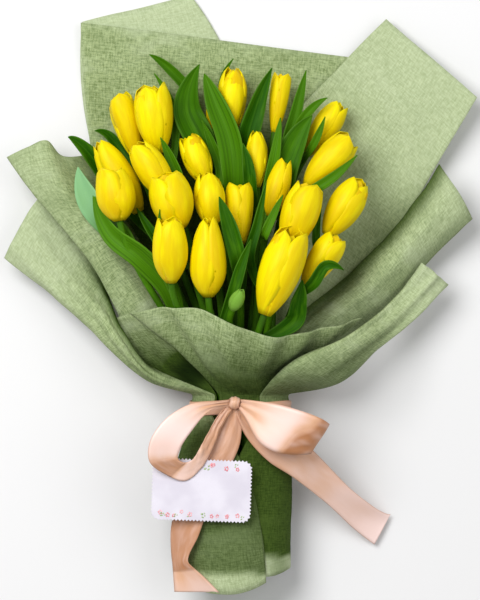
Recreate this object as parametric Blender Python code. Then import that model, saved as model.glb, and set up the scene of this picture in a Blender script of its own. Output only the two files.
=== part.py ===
"""A wrapped bunch of yellow tulips, lying on its back. Metres, +Z up, flowers towards +Y.

Each tulip is a flower head on a stem that carries its own leaves. The stems are packed in
rows at the neck, where a tie holds them, and fan out above it. Seven folded sheets and two
back sheets of woven wrap are gathered at the neck under a satin ribbon with a bow.
"""
import math
from collections import namedtuple

import bmesh
import bpy
from mathutils import Vector

# Driving dimensions, in metres.
STEM_RADIUS = 0.0029       # just under the flower
STEM_FOOT_RADIUS = 0.0043  # at the tie and below it
STEM_PITCH_X = 0.0095      # spacing of the stems across the neck
STEM_PITCH_Z = 0.0078      # spacing of the rows of stems, back to front
STEM_END_Y = -0.236        # where the stems are cut
NECK_Y = -0.092            # middle of the tie
NECK_Z = 0.0325            # height of the bundle's centre line at the neck
LEAF_THICKNESS = 0.0012
WRAP_THICKNESS = 0.0008
RIBBON_THICKNESS = 0.0008
CARD_SIZE = (0.085, 0.053, 0.0008)
FACE_GAP = 0.0003          # clearance where a head sits on its stem

# The neck is an ellipse. Each layer of wrap lies outside the one before it.
NECK_INNER = (0.0354, 0.0242)
LAYER_STEP = (0.0013, 0.0012)
TIE_HALF_WIDTHS = (0.0338, 0.0228)
TIE_THICKNESS = 0.0010
GATHER_STOPS = (-0.106, -0.096, -0.086)   # rows of a gathered sheet under the ribbon
SLEEVE_STOPS = (-0.200, -0.150)           # rows of a sheet that runs on round the stems
SLEEVE_Z = 0.0312
# Each sheet's sleeve: half width, half height, and where it is cut.
BACK_SLEEVE = (0.0400, 0.0300, -0.243)
RIGHT_SLEEVE = (0.0424, 0.0303, -0.241)
LEFT_SLEEVE = (0.0438, 0.0326, -0.255)
LEFT_SLACK = 1.24                         # how much wider the left sheet hangs on its left side
LEFT_CHOP = 0.009                         # how much of its right corner is cut off at a slant
CUT_ROUNDING = 0.008                      # how far a sheet's corners are rounded off at its cut end
BACK_SHEET_REST = 0.0018                  # the back sheet lies this high, on the liner
BAND_LAYER = 6
BAND_EDGES_Y = (-0.104, -0.092)
TIE_EDGES_Y = (-0.102, -0.094)

# How a stem leaves the neck and meets its head, as shares of the distance between them.
STEM_REACH = 0.33
STEM_HEAD_REACH = 0.8
# A leaf is widest at LEAF_BELLY of its length; at its sheath it has LEAF_SHEATH of that width.
LEAF_BELLY = 0.45
LEAF_SHEATH = 0.42
LEAF_FOLD = 0.18           # depth of the fold along the middle, as a share of the half width
LEAF_EDGE = 0.3            # half thickness at the edge and the middle, as shares of the thickness
LEAF_MIDDLE = 0.5
LOBE_DEPTH = 0.05          # the soft lobes of a closed head, as a share of its radius
HEAD_FOOT = 0.30           # a head's radius where it sits on its stem, as a share of its radius
HEAD_STOPS = (0.0, 0.07, 0.2, 0.4, 0.6, 0.8, 0.95, 1.0)   # places along a head
TIP_DOME = 0.6             # how much narrower the very top is than the rim below it
# Each head: where along it it is widest, and the width at its rim as a share of the widest.
HEAD_SHAPE = {
    "01": (0.74, 0.78), "02": (0.66, 0.74), "03": (0.50, 0.42), "04": (0.46, 0.66), "05": (0.58, 0.62),
    "06": (0.56, 0.70), "07": (0.55, 0.72), "08": (0.52, 0.56), "09": (0.48, 0.64), "10": (0.36, 0.34),
    "11": (0.78, 0.76), "12": (0.64, 0.40), "13": (0.50, 0.40), "14": (0.80, 0.82), "15": (0.60, 0.42),
    "16": (0.50, 0.42), "17": (0.60, 0.64), "18": (0.62, 0.68), "19": (0.60, 0.60), "20": (0.62, 0.66),
    "21": (0.70, 0.72), "22": (0.62, 0.66), "bud": (0.45, 0.40),
}

Leaf = namedtuple("Leaf", "at path width")
Plant = namedtuple("Plant", "name slot base tip radius leaves")

# Each plant: its place in the neck (across, row), the base and tip of its head, the head's
# greatest radius, and its leaves: where on the stem a leaf starts, its route and its width.
PLANTS = [
    Plant("01", (-1.5, -1), (-0.088, 0.115, 0.022), (-0.105, 0.170, 0.026), 0.0112, [
        Leaf(0.85, [(-0.101, 0.120, 0.008), (-0.113, 0.135, 0.008), (-0.125, 0.139, 0.012)], 0.008),
    ]),
    Plant("02", (-0.5, -1), (-0.070, 0.119, 0.036), (-0.077, 0.180, 0.040), 0.0160, [
        Leaf(0.80, [(-0.055, 0.139, 0.024), (-0.060, 0.164, 0.018), (-0.074, 0.188, 0.016)], 0.007),
        Leaf(0.86, [(-0.053, 0.094, 0.046), (-0.059, 0.113, 0.05), (-0.068, 0.132, 0.054)], 0.009),
    ]),
    Plant("03", (-2.5, -1), (-0.086, 0.069, 0.042), (-0.122, 0.130, 0.044), 0.0135, [
        Leaf(0.85, [(-0.101, 0.081, 0.024), (-0.130, 0.120, 0.03), (-0.147, 0.133, 0.034)], 0.013),
    ]),
    Plant("04", (-3, 0), (-0.102, 0.061, 0.076), (-0.109, 0.106, 0.076), 0.0158, [
        Leaf(0.35, [(-0.060, 0.002, 0.066), (-0.084, 0.030, 0.077), (-0.111, 0.052, 0.071),
                    (-0.125, 0.086, 0.058)], 0.018),
        Leaf(0.75, [(-0.100, 0.046, 0.058), (-0.121, 0.068, 0.058), (-0.132, 0.087, 0.057),
                    (-0.138, 0.107, 0.056)], 0.020),
    ]),
    Plant("05", (-2, 0), (-0.059, 0.079, 0.06), (-0.089, 0.128, 0.06), 0.0132, [
        Leaf(0.65, [(-0.055, 0.026, 0.058), (-0.074, 0.050, 0.064), (-0.088, 0.072, 0.062)], 0.009),
    ]),
    Plant("06", (-1.5, 1), (-0.051, 0.054, 0.086), (-0.064, 0.101, 0.086), 0.0172, [
    ]),
    Plant("07", (0.5, -1), (-0.029, 0.093, 0.046), (-0.045, 0.135, 0.044), 0.0112, [
        Leaf(0.90, [(-0.017, 0.103, 0.034), (-0.024, 0.126, 0.034), (-0.033, 0.147, 0.036)], 0.008),
    ]),
    Plant("08", (-1, 0), (-0.024, 0.057, 0.074), (-0.028, 0.103, 0.073), 0.0125, [
    ]),
    Plant("09", (-1.5, 2), (-0.058, 0.009, 0.097), (-0.060, 0.064, 0.11), 0.0145, [
        Leaf(0.80, [(-0.067, 0.026, 0.078), (-0.068, 0.047, 0.084), (-0.068, 0.070, 0.1)], 0.006),
    ]),
    Plant("10", (-0.5, 2), (-0.027, -0.003, 0.094), (-0.028, 0.064, 0.104), 0.0146, [
        Leaf(0.60, [(-0.007, -0.002, 0.091), (0.000, 0.021, 0.094), (0.009, 0.045, 0.096)], 0.009),
    ]),
    Plant("11", (0, 0), (0.000, 0.041, 0.066), (-0.001, 0.093, 0.062), 0.0110, [
        Leaf(0.65, [(-0.002, 0.026, 0.088), (-0.010, 0.057, 0.092), (-0.018, 0.081, 0.092)], 0.013),
    ]),
    Plant("12", (-0.5, -2), (-0.008, 0.137, 0.026), (-0.006, 0.193, 0.028), 0.0118, [
        Leaf(0.70, [(-0.006, 0.099, 0.0375), (-0.010, 0.132, 0.041), (-0.022, 0.164, 0.041),
                    (-0.031, 0.187, 0.038)], 0.019),
        Leaf(0.88, [(-0.011, 0.154, 0.007), (-0.016, 0.179, 0.007), (-0.006, 0.201, 0.011)], 0.006),
    ]),
    Plant("13", (-1.5, -2), (-0.023, 0.139, 0.019), (-0.024, 0.169, 0.018), 0.0055, [
        Leaf(0.75, [(-0.034, 0.130, 0.026), (-0.046, 0.160, 0.027), (-0.035, 0.195, 0.034)], 0.023),
        Leaf(0.88, [(-0.043, 0.171, 0.013), (-0.062, 0.193, 0.015), (-0.078, 0.204, 0.02)], 0.008),
    ]),
    Plant("14", (0.5, -2), (0.029, 0.137, 0.024), (0.036, 0.188, 0.026), 0.0080, [
        Leaf(0.80, [(0.006, 0.122, 0.033), (0.013, 0.157, 0.037), (0.027, 0.192, 0.038)], 0.016),
    ]),
    Plant("15", (1.5, -1), (0.014, 0.090, 0.044), (0.014, 0.139, 0.044), 0.0086, [
        Leaf(0.85, [(0.008, 0.094, 0.055), (0.006, 0.109, 0.058), (0.002, 0.127, 0.058)], 0.010),
    ]),
    Plant("16", (1, 0), (0.025, 0.065, 0.058), (0.038, 0.113, 0.058), 0.0098, [
        Leaf(0.80, [(0.022, 0.075, 0.044), (0.030, 0.120, 0.051), (0.034, 0.149, 0.05)], 0.009),
        Leaf(0.88, [(0.020, 0.048, 0.073), (0.028, 0.066, 0.074), (0.036, 0.083, 0.074)], 0.007),
    ]),
    Plant("17", (1.5, -2), (0.057, 0.119, 0.026), (0.087, 0.163, 0.03), 0.0112, [
        Leaf(0.80, [(0.040, 0.122, 0.028), (0.048, 0.156, 0.032), (0.056, 0.190, 0.035)], 0.010),
        Leaf(0.92, [(0.049, 0.140, 0.04), (0.061, 0.157, 0.045), (0.074, 0.166, 0.047)], 0.007),
        Leaf(0.94, [(0.060, 0.123, 0.042), (0.066, 0.134, 0.046), (0.072, 0.150, 0.048)], 0.006),
    ]),
    Plant("18", (2.5, -1), (0.056, 0.091, 0.048), (0.095, 0.132, 0.05), 0.0138, [
        Leaf(0.75, [(0.037, 0.100, 0.043), (0.046, 0.128, 0.046), (0.061, 0.151, 0.046)], 0.020),
        Leaf(0.93, [(0.061, 0.087, 0.062), (0.080, 0.099, 0.065), (0.099, 0.117, 0.062)], 0.008),
    ]),
    Plant("19", (3, 0), (0.073, 0.049, 0.062), (0.103, 0.096, 0.064), 0.0138, [
        Leaf(0.88, [(0.064, 0.043, 0.064), (0.065, 0.065, 0.066), (0.070, 0.086, 0.07)], 0.006),
    ]),
    Plant("20", (1.5, 1), (0.040, 0.037, 0.078), (0.059, 0.093, 0.08), 0.0155, [
        Leaf(0.60, [(0.008, 0.026, 0.075), (0.014, 0.058, 0.077), (0.022, 0.094, 0.077)], 0.008),
    ]),
    Plant("21", (2.5, 1), (0.054, 0.006, 0.076), (0.083, 0.049, 0.082), 0.0120, [
        Leaf(0.90, [(0.061, 0.008, 0.092), (0.072, 0.023, 0.098), (0.087, 0.019, 0.094)], 0.009),
    ]),
    Plant("22", (0.5, 2), (0.020, -0.018, 0.098), (0.046, 0.055, 0.104), 0.0170, [
        Leaf(0.65, [(0.044, -0.025, 0.08), (0.049, -0.008, 0.086), (0.052, 0.011, 0.089)], 0.014),
    ]),
]
BUD = Plant("bud", (0.5, 1), (-0.0070, -0.0145, 0.098), (0.0015, 0.0035, 0.110), 0.0056, [])

# Wrap sheets: rows of points from the neck outwards. The rows at the neck are arcs of the
# neck ellipse and are worked out below.
BACK_LINER = [
    [(-0.055, -0.050, 0.0004), (-0.033, -0.052, 0.0004), (-0.009, -0.053, 0.0004),
     (0.011, -0.052, 0.0004), (0.028, -0.050, 0.0004)],
    [(-0.104, 0.049, 0.0004), (-0.073, 0.052, 0.0004), (-0.043, 0.054, 0.0004),
     (-0.013, 0.055, 0.0004), (0.018, 0.057, 0.0004)],
    [(-0.133, 0.149, 0.0004), (-0.098, 0.154, 0.0004), (-0.064, 0.159, 0.0004),
     (-0.030, 0.164, 0.0004), (0.002, 0.169, 0.0004)],
    [(-0.136, 0.233, 0.001), (-0.113, 0.239, 0.0004), (-0.090, 0.244, 0.0004), (-0.066, 0.250, 0.001),
     (-0.043, 0.256, 0.0025)],
]
BACK_SHEET = [
    [(-0.065, -0.031, 0.0035), (-0.040, -0.034, 0.0022), (-0.012, -0.037, 0.0022),
     (0.017, -0.037, 0.0022), (0.045, -0.034, 0.0035)],
    [(-0.119, 0.079, 0.004), (-0.073, 0.072, 0.0022), (-0.013, 0.066, 0.0022), (0.042, 0.062, 0.0022),
     (0.089, 0.058, 0.003)],
    [(-0.133, 0.164, 0.004), (-0.077, 0.160, 0.0022), (-0.013, 0.154, 0.0022), (0.046, 0.147, 0.0022),
     (0.106, 0.140, 0.003)],
    [(-0.137, 0.232, 0.008), (-0.077, 0.225, 0.004), (-0.009, 0.216, 0.003), (0.051, 0.208, 0.003),
     (0.114, 0.200, 0.003)],
]
RIGHT_UPPER_FLAP = [
    [(0.012, 0.024, 0.005), (0.029, 0.008, 0.006), (0.048, -0.008, 0.009), (0.065, -0.018, 0.009),
     (0.083, -0.025, 0.009)],
    [(0.042, 0.143, 0.005), (0.063, 0.113, 0.006), (0.089, 0.083, 0.009), (0.112, 0.062, 0.010),
     (0.131, 0.045, 0.011)],
    [(0.083, 0.192, 0.007), (0.106, 0.171, 0.009), (0.129, 0.151, 0.013), (0.150, 0.132, 0.015),
     (0.170, 0.113, 0.020)],
    [(0.125, 0.235, 0.01), (0.144, 0.218, 0.014), (0.164, 0.201, 0.018), (0.183, 0.184, 0.024),
     (0.202, 0.167, 0.03)],
]
RIGHT_MIDDLE_PLEAT = [
    [(0.038, -0.031, 0.016), (0.046, -0.036, 0.031), (0.055, -0.039, 0.042), (0.063, -0.044, 0.04),
     (0.073, -0.049, 0.026)],
    [(0.095, 0.018, 0.016), (0.102, 0.011, 0.034), (0.109, 0.004, 0.044), (0.117, -0.004, 0.034),
     (0.126, -0.013, 0.014)],
    [(0.140, 0.066, 0.022), (0.145, 0.056, 0.037), (0.150, 0.046, 0.044), (0.155, 0.036, 0.038),
     (0.160, 0.025, 0.024)],
    [(0.170, 0.110, 0.034), (0.177, 0.099, 0.038), (0.185, 0.087, 0.042), (0.192, 0.075, 0.04),
     (0.198, 0.063, 0.034)],
]
RIGHT_LOWER_PLEAT = [
    [(0.042, -0.058, 0.078), (0.052, -0.064, 0.087), (0.065, -0.071, 0.078), (0.078, -0.077, 0.06),
     (0.089, -0.074, 0.04)],
    [(0.090, -0.035, 0.066), (0.094, -0.040, 0.074), (0.101, -0.046, 0.067), (0.108, -0.050, 0.054),
     (0.116, -0.050, 0.038)],
    [(0.124, -0.011, 0.034), (0.127, -0.016, 0.039), (0.134, -0.021, 0.04), (0.141, -0.025, 0.038),
     (0.146, -0.025, 0.032)],
    [(0.154, 0.026, 0.038), (0.161, 0.021, 0.041), (0.168, 0.015, 0.040), (0.174, 0.010, 0.035),
     (0.179, 0.006, 0.026)],
]
FRONT_COLLAR = [
    [(-0.047, -0.054, 0.06), (-0.032, -0.061, 0.072), (-0.016, -0.067, 0.08), (0.000, -0.071, 0.082),
     (0.015, -0.071, 0.074), (0.028, -0.067, 0.062), (0.042, -0.064, 0.05), (0.056, -0.060, 0.038)],
    [(-0.077, -0.030, 0.062), (-0.051, -0.031, 0.082), (-0.026, -0.040, 0.094),
     (0.000, -0.050, 0.096), (0.023, -0.055, 0.09), (0.045, -0.050, 0.077), (0.066, -0.045, 0.058),
     (0.089, -0.038, 0.038)],
    [(-0.094, -0.017, 0.058), (-0.064, -0.013, 0.086), (-0.034, -0.014, 0.1), (0.000, -0.029, 0.102),
     (0.029, -0.037, 0.096), (0.055, -0.033, 0.079), (0.080, -0.028, 0.058), (0.105, -0.022, 0.038)],
]
LEFT_PLEAT = [
    [(-0.071, -0.069, 0.033), (-0.060, -0.067, 0.040), (-0.050, -0.067, 0.0455), (-0.041, -0.067, 0.049),
     (-0.033, -0.068, 0.0525)],
    [(-0.099, -0.048, 0.032), (-0.086, -0.044, 0.040), (-0.073, -0.043, 0.046), (-0.060, -0.044, 0.050),
     (-0.049, -0.046, 0.051)],
    [(-0.119, -0.023, 0.029), (-0.106, -0.021, 0.0385), (-0.094, -0.018, 0.047), (-0.083, -0.019, 0.049),
     (-0.072, -0.022, 0.048)],
]
LEFT_OUTER = [
    [(-0.077, -0.061, 0.044), (-0.076, -0.067, 0.053), (-0.076, -0.072, 0.056),
     (-0.078, -0.075, 0.046), (-0.079, -0.071, 0.026)],
    [(-0.102, -0.027, 0.046), (-0.101, -0.036, 0.051), (-0.102, -0.044, 0.054),
     (-0.108, -0.048, 0.044), (-0.113, -0.044, 0.024)],
    [(-0.1125, 0.000, 0.030), (-0.116, -0.008, 0.038), (-0.121, -0.016, 0.044), (-0.129, -0.024, 0.040),
     (-0.136, -0.024, 0.023)],
    [(-0.131, 0.050, 0.016), (-0.144, 0.034, 0.027), (-0.153, 0.021, 0.034), (-0.162, 0.008, 0.032),
     (-0.169, 0.003, 0.022)],
    [(-0.164, 0.092, 0.02), (-0.179, 0.073, 0.024), (-0.187, 0.059, 0.028), (-0.195, 0.044, 0.028),
     (-0.202, 0.030, 0.024)],
]
LEFT_BAND = [
    [(-0.072, -0.054, 0.030), (-0.064, -0.050, 0.035), (-0.057, -0.046, 0.034),
     (-0.054, -0.044, 0.027), (-0.051, -0.043, 0.02)],
    [(-0.100, -0.025, 0.036), (-0.088, -0.016, 0.044), (-0.074, -0.008, 0.042),
     (-0.063, -0.004, 0.03), (-0.053, -0.002, 0.018)],
    [(-0.126, 0.024, 0.04), (-0.118, 0.032, 0.048), (-0.108, 0.038, 0.05), (-0.097, 0.042, 0.044),
     (-0.087, 0.045, 0.028)],
    [(-0.175, 0.083, 0.036), (-0.162, 0.088, 0.044), (-0.148, 0.088, 0.046), (-0.133, 0.088, 0.036),
     (-0.113, 0.088, 0.018)],
    [(-0.199, 0.116, 0.034), (-0.182, 0.124, 0.04), (-0.165, 0.130, 0.04), (-0.151, 0.117, 0.030),
     (-0.123, 0.121, 0.016)],
]
LEFT_LOOP = [
    ((-0.008, -0.090, 0.07), (-0.008, -0.097, 0.07)),
    ((-0.023, -0.092, 0.078), (-0.021, -0.097, 0.076)),
    ((-0.043, -0.094, 0.083), (-0.031, -0.104, 0.081)),
    ((-0.063, -0.106, 0.086), (-0.040, -0.115, 0.083)),
    ((-0.076, -0.124, 0.086), (-0.049, -0.128, 0.083)),
    ((-0.077, -0.142, 0.082), (-0.053, -0.139, 0.080)),
    ((-0.064, -0.153, 0.0745), (-0.048, -0.143, 0.078)),
    ((-0.047, -0.159, 0.0718), (-0.041, -0.141, 0.077)),
    ((-0.033, -0.148, 0.0728), (-0.035, -0.132, 0.078)),
    ((-0.023, -0.132, 0.072), (-0.028, -0.119, 0.075)),
    ((-0.016, -0.114, 0.071), (-0.020, -0.105, 0.072)),
    ((-0.007, -0.099, 0.07), (-0.011, -0.095, 0.071)),
]
RIGHT_LOOP = [
    ((-0.002, -0.090, 0.07), (-0.002, -0.097, 0.07)),
    ((0.012, -0.091, 0.078), (0.005, -0.108, 0.076)),
    ((0.032, -0.094, 0.086), (0.015, -0.125, 0.082)),
    ((0.053, -0.100, 0.09), (0.029, -0.134, 0.084)),
    ((0.068, -0.106, 0.088), (0.048, -0.137, 0.082)),
    ((0.075, -0.111, 0.08), (0.060, -0.136, 0.076)),
    ((0.066, -0.111, 0.072), (0.052, -0.133, 0.07)),
    ((0.038, -0.101, 0.07), (0.027, -0.125, 0.069)),
    ((0.004, -0.094, 0.069), (0.000, -0.101, 0.069)),
]
RIGHT_TAIL = [
    ((0.000, -0.095, 0.067), (-0.004, -0.100, 0.067)),
    ((0.018, -0.105, 0.067), (0.005, -0.122, 0.067)),
    ((0.042, -0.118, 0.065), (0.023, -0.142, 0.066)),
    ((0.063, -0.135, 0.056), (0.044, -0.156, 0.058)),
    ((0.093, -0.166, 0.034), (0.074, -0.180, 0.034)),
    ((0.117, -0.185, 0.014), (0.096, -0.201, 0.014)),
    ((0.129, -0.190, 0.005), (0.115, -0.216, 0.005)),
]
LEFT_TAIL = [
    ((-0.009, -0.095, 0.067), (-0.002, -0.096, 0.067)),
    ((-0.023, -0.118, 0.066), (0.000, -0.125, 0.066)),
    ((-0.038, -0.149, 0.065), (-0.012, -0.154, 0.066)),
    ((-0.055, -0.183, 0.06), (-0.029, -0.188, 0.065)),
    ((-0.059, -0.201, 0.056), (-0.036, -0.207, 0.064)),
    ((-0.059, -0.220, 0.052), (-0.043, -0.221, 0.062)),
    ((-0.058, -0.232, 0.05), (-0.044, -0.229, 0.063)),
    ((-0.057, -0.242, 0.05), (-0.031, -0.241, 0.064)),
    ((-0.056, -0.254, 0.048), (-0.018, -0.254, 0.062)),
]

# Knot of the bow and the card that hangs from it.
KNOT_CENTRE = Vector((-0.005, -0.093, 0.0705))
KNOT_HALF = (0.004, 0.005)   # half sizes across and along
KNOT_LOW = -0.0071           # down to the band, from the centre
KNOT_HIGH = 0.006
CARD_CENTRE = Vector((-0.033, -0.167, 0.071))
CARD_TURN = 0.035          # clockwise, as a slope
CARD_SLOPE = 0.06          # the right end lies higher

# Corners of one end of a box, and the box's faces once both ends are listed.
BOX_CORNERS = [(-1, -1), (1, -1), (1, 1), (-1, 1)]
BOX_FACES = [(0, 1, 2, 3), (4, 5, 6, 7), (0, 1, 5, 4), (1, 2, 6, 5), (2, 3, 7, 6), (3, 0, 4, 7)]

YELLOW = ("petal_yellow", (0.86, 0.55, 0.01), 0.45)
STEM_GREEN = ("stem_green", (0.10, 0.24, 0.04), 0.5)
WRAP_SAGE = ("wrap_sage", (0.36, 0.44, 0.22), 0.9)
SATIN_PEACH = ("satin_peach", (0.82, 0.50, 0.36), 0.35)
CARD_WHITE = ("card_white", (0.88, 0.88, 0.93), 0.7)
TWINE = ("twine", (0.52, 0.40, 0.22), 0.9)


def material(look):
    name, colour, roughness = look
    found = bpy.data.materials.get(name)
    if found:
        return found
    made = bpy.data.materials.new(name)
    made.use_nodes = True
    shader = made.node_tree.nodes["Principled BSDF"]
    shader.inputs["Base Color"].default_value = (*colour, 1.0)
    shader.inputs["Roughness"].default_value = roughness
    return made


def add_object(name, points, faces, look):
    """Makes a named object from points and faces, with every face turned outwards."""
    mesh = bpy.data.meshes.new(name)
    mesh.from_pydata([tuple(p) for p in points], [], faces)
    work = bmesh.new()
    work.from_mesh(mesh)
    bmesh.ops.recalc_face_normals(work, faces=work.faces)
    bmesh.ops.triangulate(work, faces=[f for f in work.faces if len(f.verts) > 3])
    work.to_mesh(mesh)
    work.free()
    mesh.shade_smooth()
    mesh.set_sharp_from_angle(angle=math.radians(50))
    made = bpy.data.objects.new(name, mesh)
    made.data.materials.append(material(look))
    bpy.context.scene.collection.objects.link(made)
    return made


def tangent(points, i):
    """Direction of the curve at a point, held short beside a short stretch so it can't bulge."""
    last = len(points) - 1
    if i in (0, last) and last < 2:
        return points[1] - points[0]
    if i == 0:
        return points[1] * 2 - points[0] * 1.5 - points[2] * 0.5
    if i == last:
        return points[last] * 1.5 - points[last - 1] * 2 + points[last - 2] * 0.5
    before = points[i] - points[i - 1]
    after = points[i + 1] - points[i]
    mean = (before + after) / 2
    limit = min(before.length, after.length)
    return mean * min(1.0, limit / max(mean.length, 1e-9))


def spline(points, at):
    """A smooth curve through the points, read at 0 to 1."""
    last = len(points) - 1
    place = min(max(at, 0.0), 1.0) * last
    i = min(int(place), last - 1)
    t = place - i
    start, end = points[i], points[i + 1]
    leave, arrive = tangent(points, i), tangent(points, i + 1)
    bend = (end - start) * 3 - leave * 2 - arrive
    settle = (start - end) * 2 + leave + arrive
    return start + leave * t + bend * t * t + settle * t * t * t


def ring_faces(rings, sides):
    """Faces of a closed tube made of rings of points, with both ends filled."""
    faces = []
    for k in range(rings - 1):
        for j in range(sides):
            n = (j + 1) % sides
            faces.append((k * sides + j, k * sides + n, (k + 1) * sides + n, (k + 1) * sides + j))
    faces.append(tuple(range(sides)))
    faces.append(tuple((rings - 1) * sides + j for j in range(sides)))
    return faces


def across(direction, up=Vector((0, 0, 1))):
    """Two directions at right angles to the given one: sideways and upwards."""
    side = direction.cross(up).normalized()
    return side, side.cross(direction).normalized()


def slot_point(plant, y):
    column, row = plant.slot
    return Vector((column * STEM_PITCH_X, y, NECK_Z + row * STEM_PITCH_Z))


def stem_point(plant, t):
    """The stem's centre line from the neck (0) to the base of the head (1)."""
    start = slot_point(plant, NECK_Y)
    base = Vector(plant.base)
    axis = (Vector(plant.tip) - base).normalized()
    reach = (base - start).length * STEM_REACH
    lean = ((base - start).normalized() + Vector((0, 1, 0))).normalized()
    a = start + lean * reach
    b = base - axis * reach * STEM_HEAD_REACH
    return start * (1 - t) ** 3 + a * 3 * t * (1 - t) ** 2 + b * 3 * t * t * (1 - t) + base * t ** 3


def stem(plant, sides=6, steps=6):
    name = f"stem_{plant.name}"
    line = [slot_point(plant, STEM_END_Y), slot_point(plant, NECK_Y - 0.03)]
    line += [stem_point(plant, k / steps) for k in range(steps + 1)]
    base = Vector(plant.base)
    axis = (Vector(plant.tip) - base).normalized()
    line[-1] = base + axis * (FACE_GAP if plant is BUD else -FACE_GAP)
    points = []
    for k, p in enumerate(line):
        before = line[max(k - 1, 0)]
        after = line[min(k + 1, len(line) - 1)]
        direction = axis if k == len(line) - 1 else (after - before).normalized()
        side, up = across(direction)
        taper = min(max(k - 1, 0) / (steps * 0.6), 1.0)
        radius = STEM_FOOT_RADIUS + (STEM_RADIUS - STEM_FOOT_RADIUS) * taper
        for j in range(sides):
            turn = math.tau * j / sides
            points.append(p + (side * math.cos(turn) + up * math.sin(turn)) * radius)
    made = add_object(name, points, ring_faces(len(line), sides), STEM_GREEN)
    for k, one in enumerate(plant.leaves):
        blade = leaf(f"{name}_leaf_{k + 1}", plant, one)
        blade.hide_render = True
        blade.display_type = "WIRE"
        union = made.modifiers.new("leaf", "BOOLEAN")
        union.operation = "UNION"
        union.object = blade
    return made


def leaf_width(t):
    """Share of the full width along a leaf, from its sheath (0) to its pointed tip (1)."""
    if t < LEAF_BELLY:
        return LEAF_SHEATH + (1 - LEAF_SHEATH) * math.sin(math.pi / 2 * t / LEAF_BELLY)
    return (1 - ((t - LEAF_BELLY) / (1 - LEAF_BELLY)) ** 2.2) ** 0.9


def leaf(name, plant, one, steps=6):
    """A curved blade with a shallow fold along its middle, starting inside its stem."""
    route = [stem_point(plant, one.at)] + [Vector(p) for p in one.path]
    points = []
    for k in range(steps + 1):
        t = k / steps
        p = spline(route, t)
        direction = (spline(route, min(t + 0.02, 1)) - spline(route, max(t - 0.02, 0))).normalized()
        side, up = across(direction)
        half = max(one.width * 0.5 * leaf_width(t), 0.0006)
        edge = LEAF_THICKNESS * LEAF_EDGE
        middle = LEAF_THICKNESS * LEAF_MIDDLE
        fold = half * LEAF_FOLD
        points += [p - side * half + up * (fold - edge),
            p - up * middle, p + side * half + up * (fold - edge)]
        points += [p + side * half + up * (fold + edge),
            p + up * middle, p - side * half + up * (fold + edge)]
    return add_object(name, points, ring_faces(steps + 1, 6), STEM_GREEN)


def head_share(plant, t):
    """A head's radius at a place along it, as a share of its greatest radius."""
    widest, rim = HEAD_SHAPE[plant.name]
    if t < widest:
        return HEAD_FOOT + (1 - HEAD_FOOT) * (1 - (1 - t / widest) ** 2.2)
    return 1 - (1 - rim) * ((t - widest) / (1 - widest)) ** 2


def head(plant, sides=9, look=YELLOW):
    """A closed tulip: a cup with a blunt top and three soft lobes, one for each outer petal."""
    base = Vector(plant.base)
    axis = Vector(plant.tip) - base
    side, up = across(axis.normalized())
    points = []
    for t in HEAD_STOPS:
        share = head_share(plant, t) * (TIP_DOME if t == 1.0 else 1.0)
        for j in range(sides):
            turn = math.tau * j / sides
            radius = plant.radius * share * (1 - LOBE_DEPTH + LOBE_DEPTH * math.cos(3 * turn))
            points.append(base + axis * t + (side * math.cos(turn) + up * math.sin(turn)) * radius)
    return add_object(f"head_{plant.name}", points, ring_faces(len(HEAD_STOPS), sides), look)


def arc(y, layer, start, end, count):
    """Points on one layer of the neck ellipse, between two angles in degrees."""
    half_x = NECK_INNER[0] + LAYER_STEP[0] * layer
    half_z = NECK_INNER[1] + LAYER_STEP[1] * layer
    return ellipse_arc(y, half_x, half_z, NECK_Z, start, end, count)


def ellipse_arc(y, half_x, half_z, middle_z, start, end, count):
    points = []
    for k in range(count):
        turn = math.radians(start + (end - start) * k / (count - 1))
        points.append(Vector((half_x * math.cos(turn), y, middle_z + half_z * math.sin(turn))))
    return points


def grid_solid(name, rows, thickness, look):
    """A closed sheet of even thickness on a grid of points."""
    count, width = len(rows), len(rows[0])
    faces_up = []
    faces_down = []
    for i in range(count):
        for j in range(width):
            along = rows[min(i + 1, count - 1)][j] - rows[max(i - 1, 0)][j]
            over = rows[i][min(j + 1, width - 1)] - rows[i][max(j - 1, 0)]
            normal = over.cross(along).normalized() * (thickness / 2)
            faces_up.append(rows[i][j] + normal)
            faces_down.append(rows[i][j] - normal)
    points = faces_up + faces_down
    lower = count * width
    faces = []
    for i in range(count - 1):
        for j in range(width - 1):
            a, b, c, d = i * width + j, i * width + j + 1, (i + 1) * width + j + 1, (i + 1) * width + j
            faces += [(a, b, c, d), (lower + a, lower + d, lower + c, lower + b)]
    rim = [j for j in range(width)]
    rim += [i * width + width - 1 for i in range(1, count)]
    rim += [(count - 1) * width + j for j in range(width - 2, -1, -1)]
    rim += [i * width for i in range(count - 2, 0, -1)]
    for k, a in enumerate(rim):
        b = rim[(k + 1) % len(rim)]
        faces.append((a, b, lower + b, lower + a))
    return add_object(name, points, faces, look)


def smooth_rows(net, rows, columns):
    """Reads a net of points as a smooth surface on a finer grid."""
    lines = [[spline(row, j / (columns - 1)) for j in range(columns)] for row in net]
    return [[spline([line[j] for line in lines], i / (rows - 1)) for j in range(columns)] for i in range(rows)]


def wrap_sheet(name, shape, gathers, rows, columns, lowest=0.0):
    """A sheet of wrap: its gathered rows at the neck, then the rows of its open part."""
    net = gathers + [[Vector(p) for p in row] for row in shape]
    grid = smooth_rows(net, rows, columns)
    for row in grid:
        for point in row:
            point.z = max(point.z, lowest)
    return grid_solid(name, grid, WRAP_THICKNESS, WRAP_SAGE)


def gather(layer, start, end, count=5):
    """The rows of a sheet that lie under the ribbon."""
    return [arc(y, layer, start, end, count) for y in GATHER_STOPS]


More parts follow.
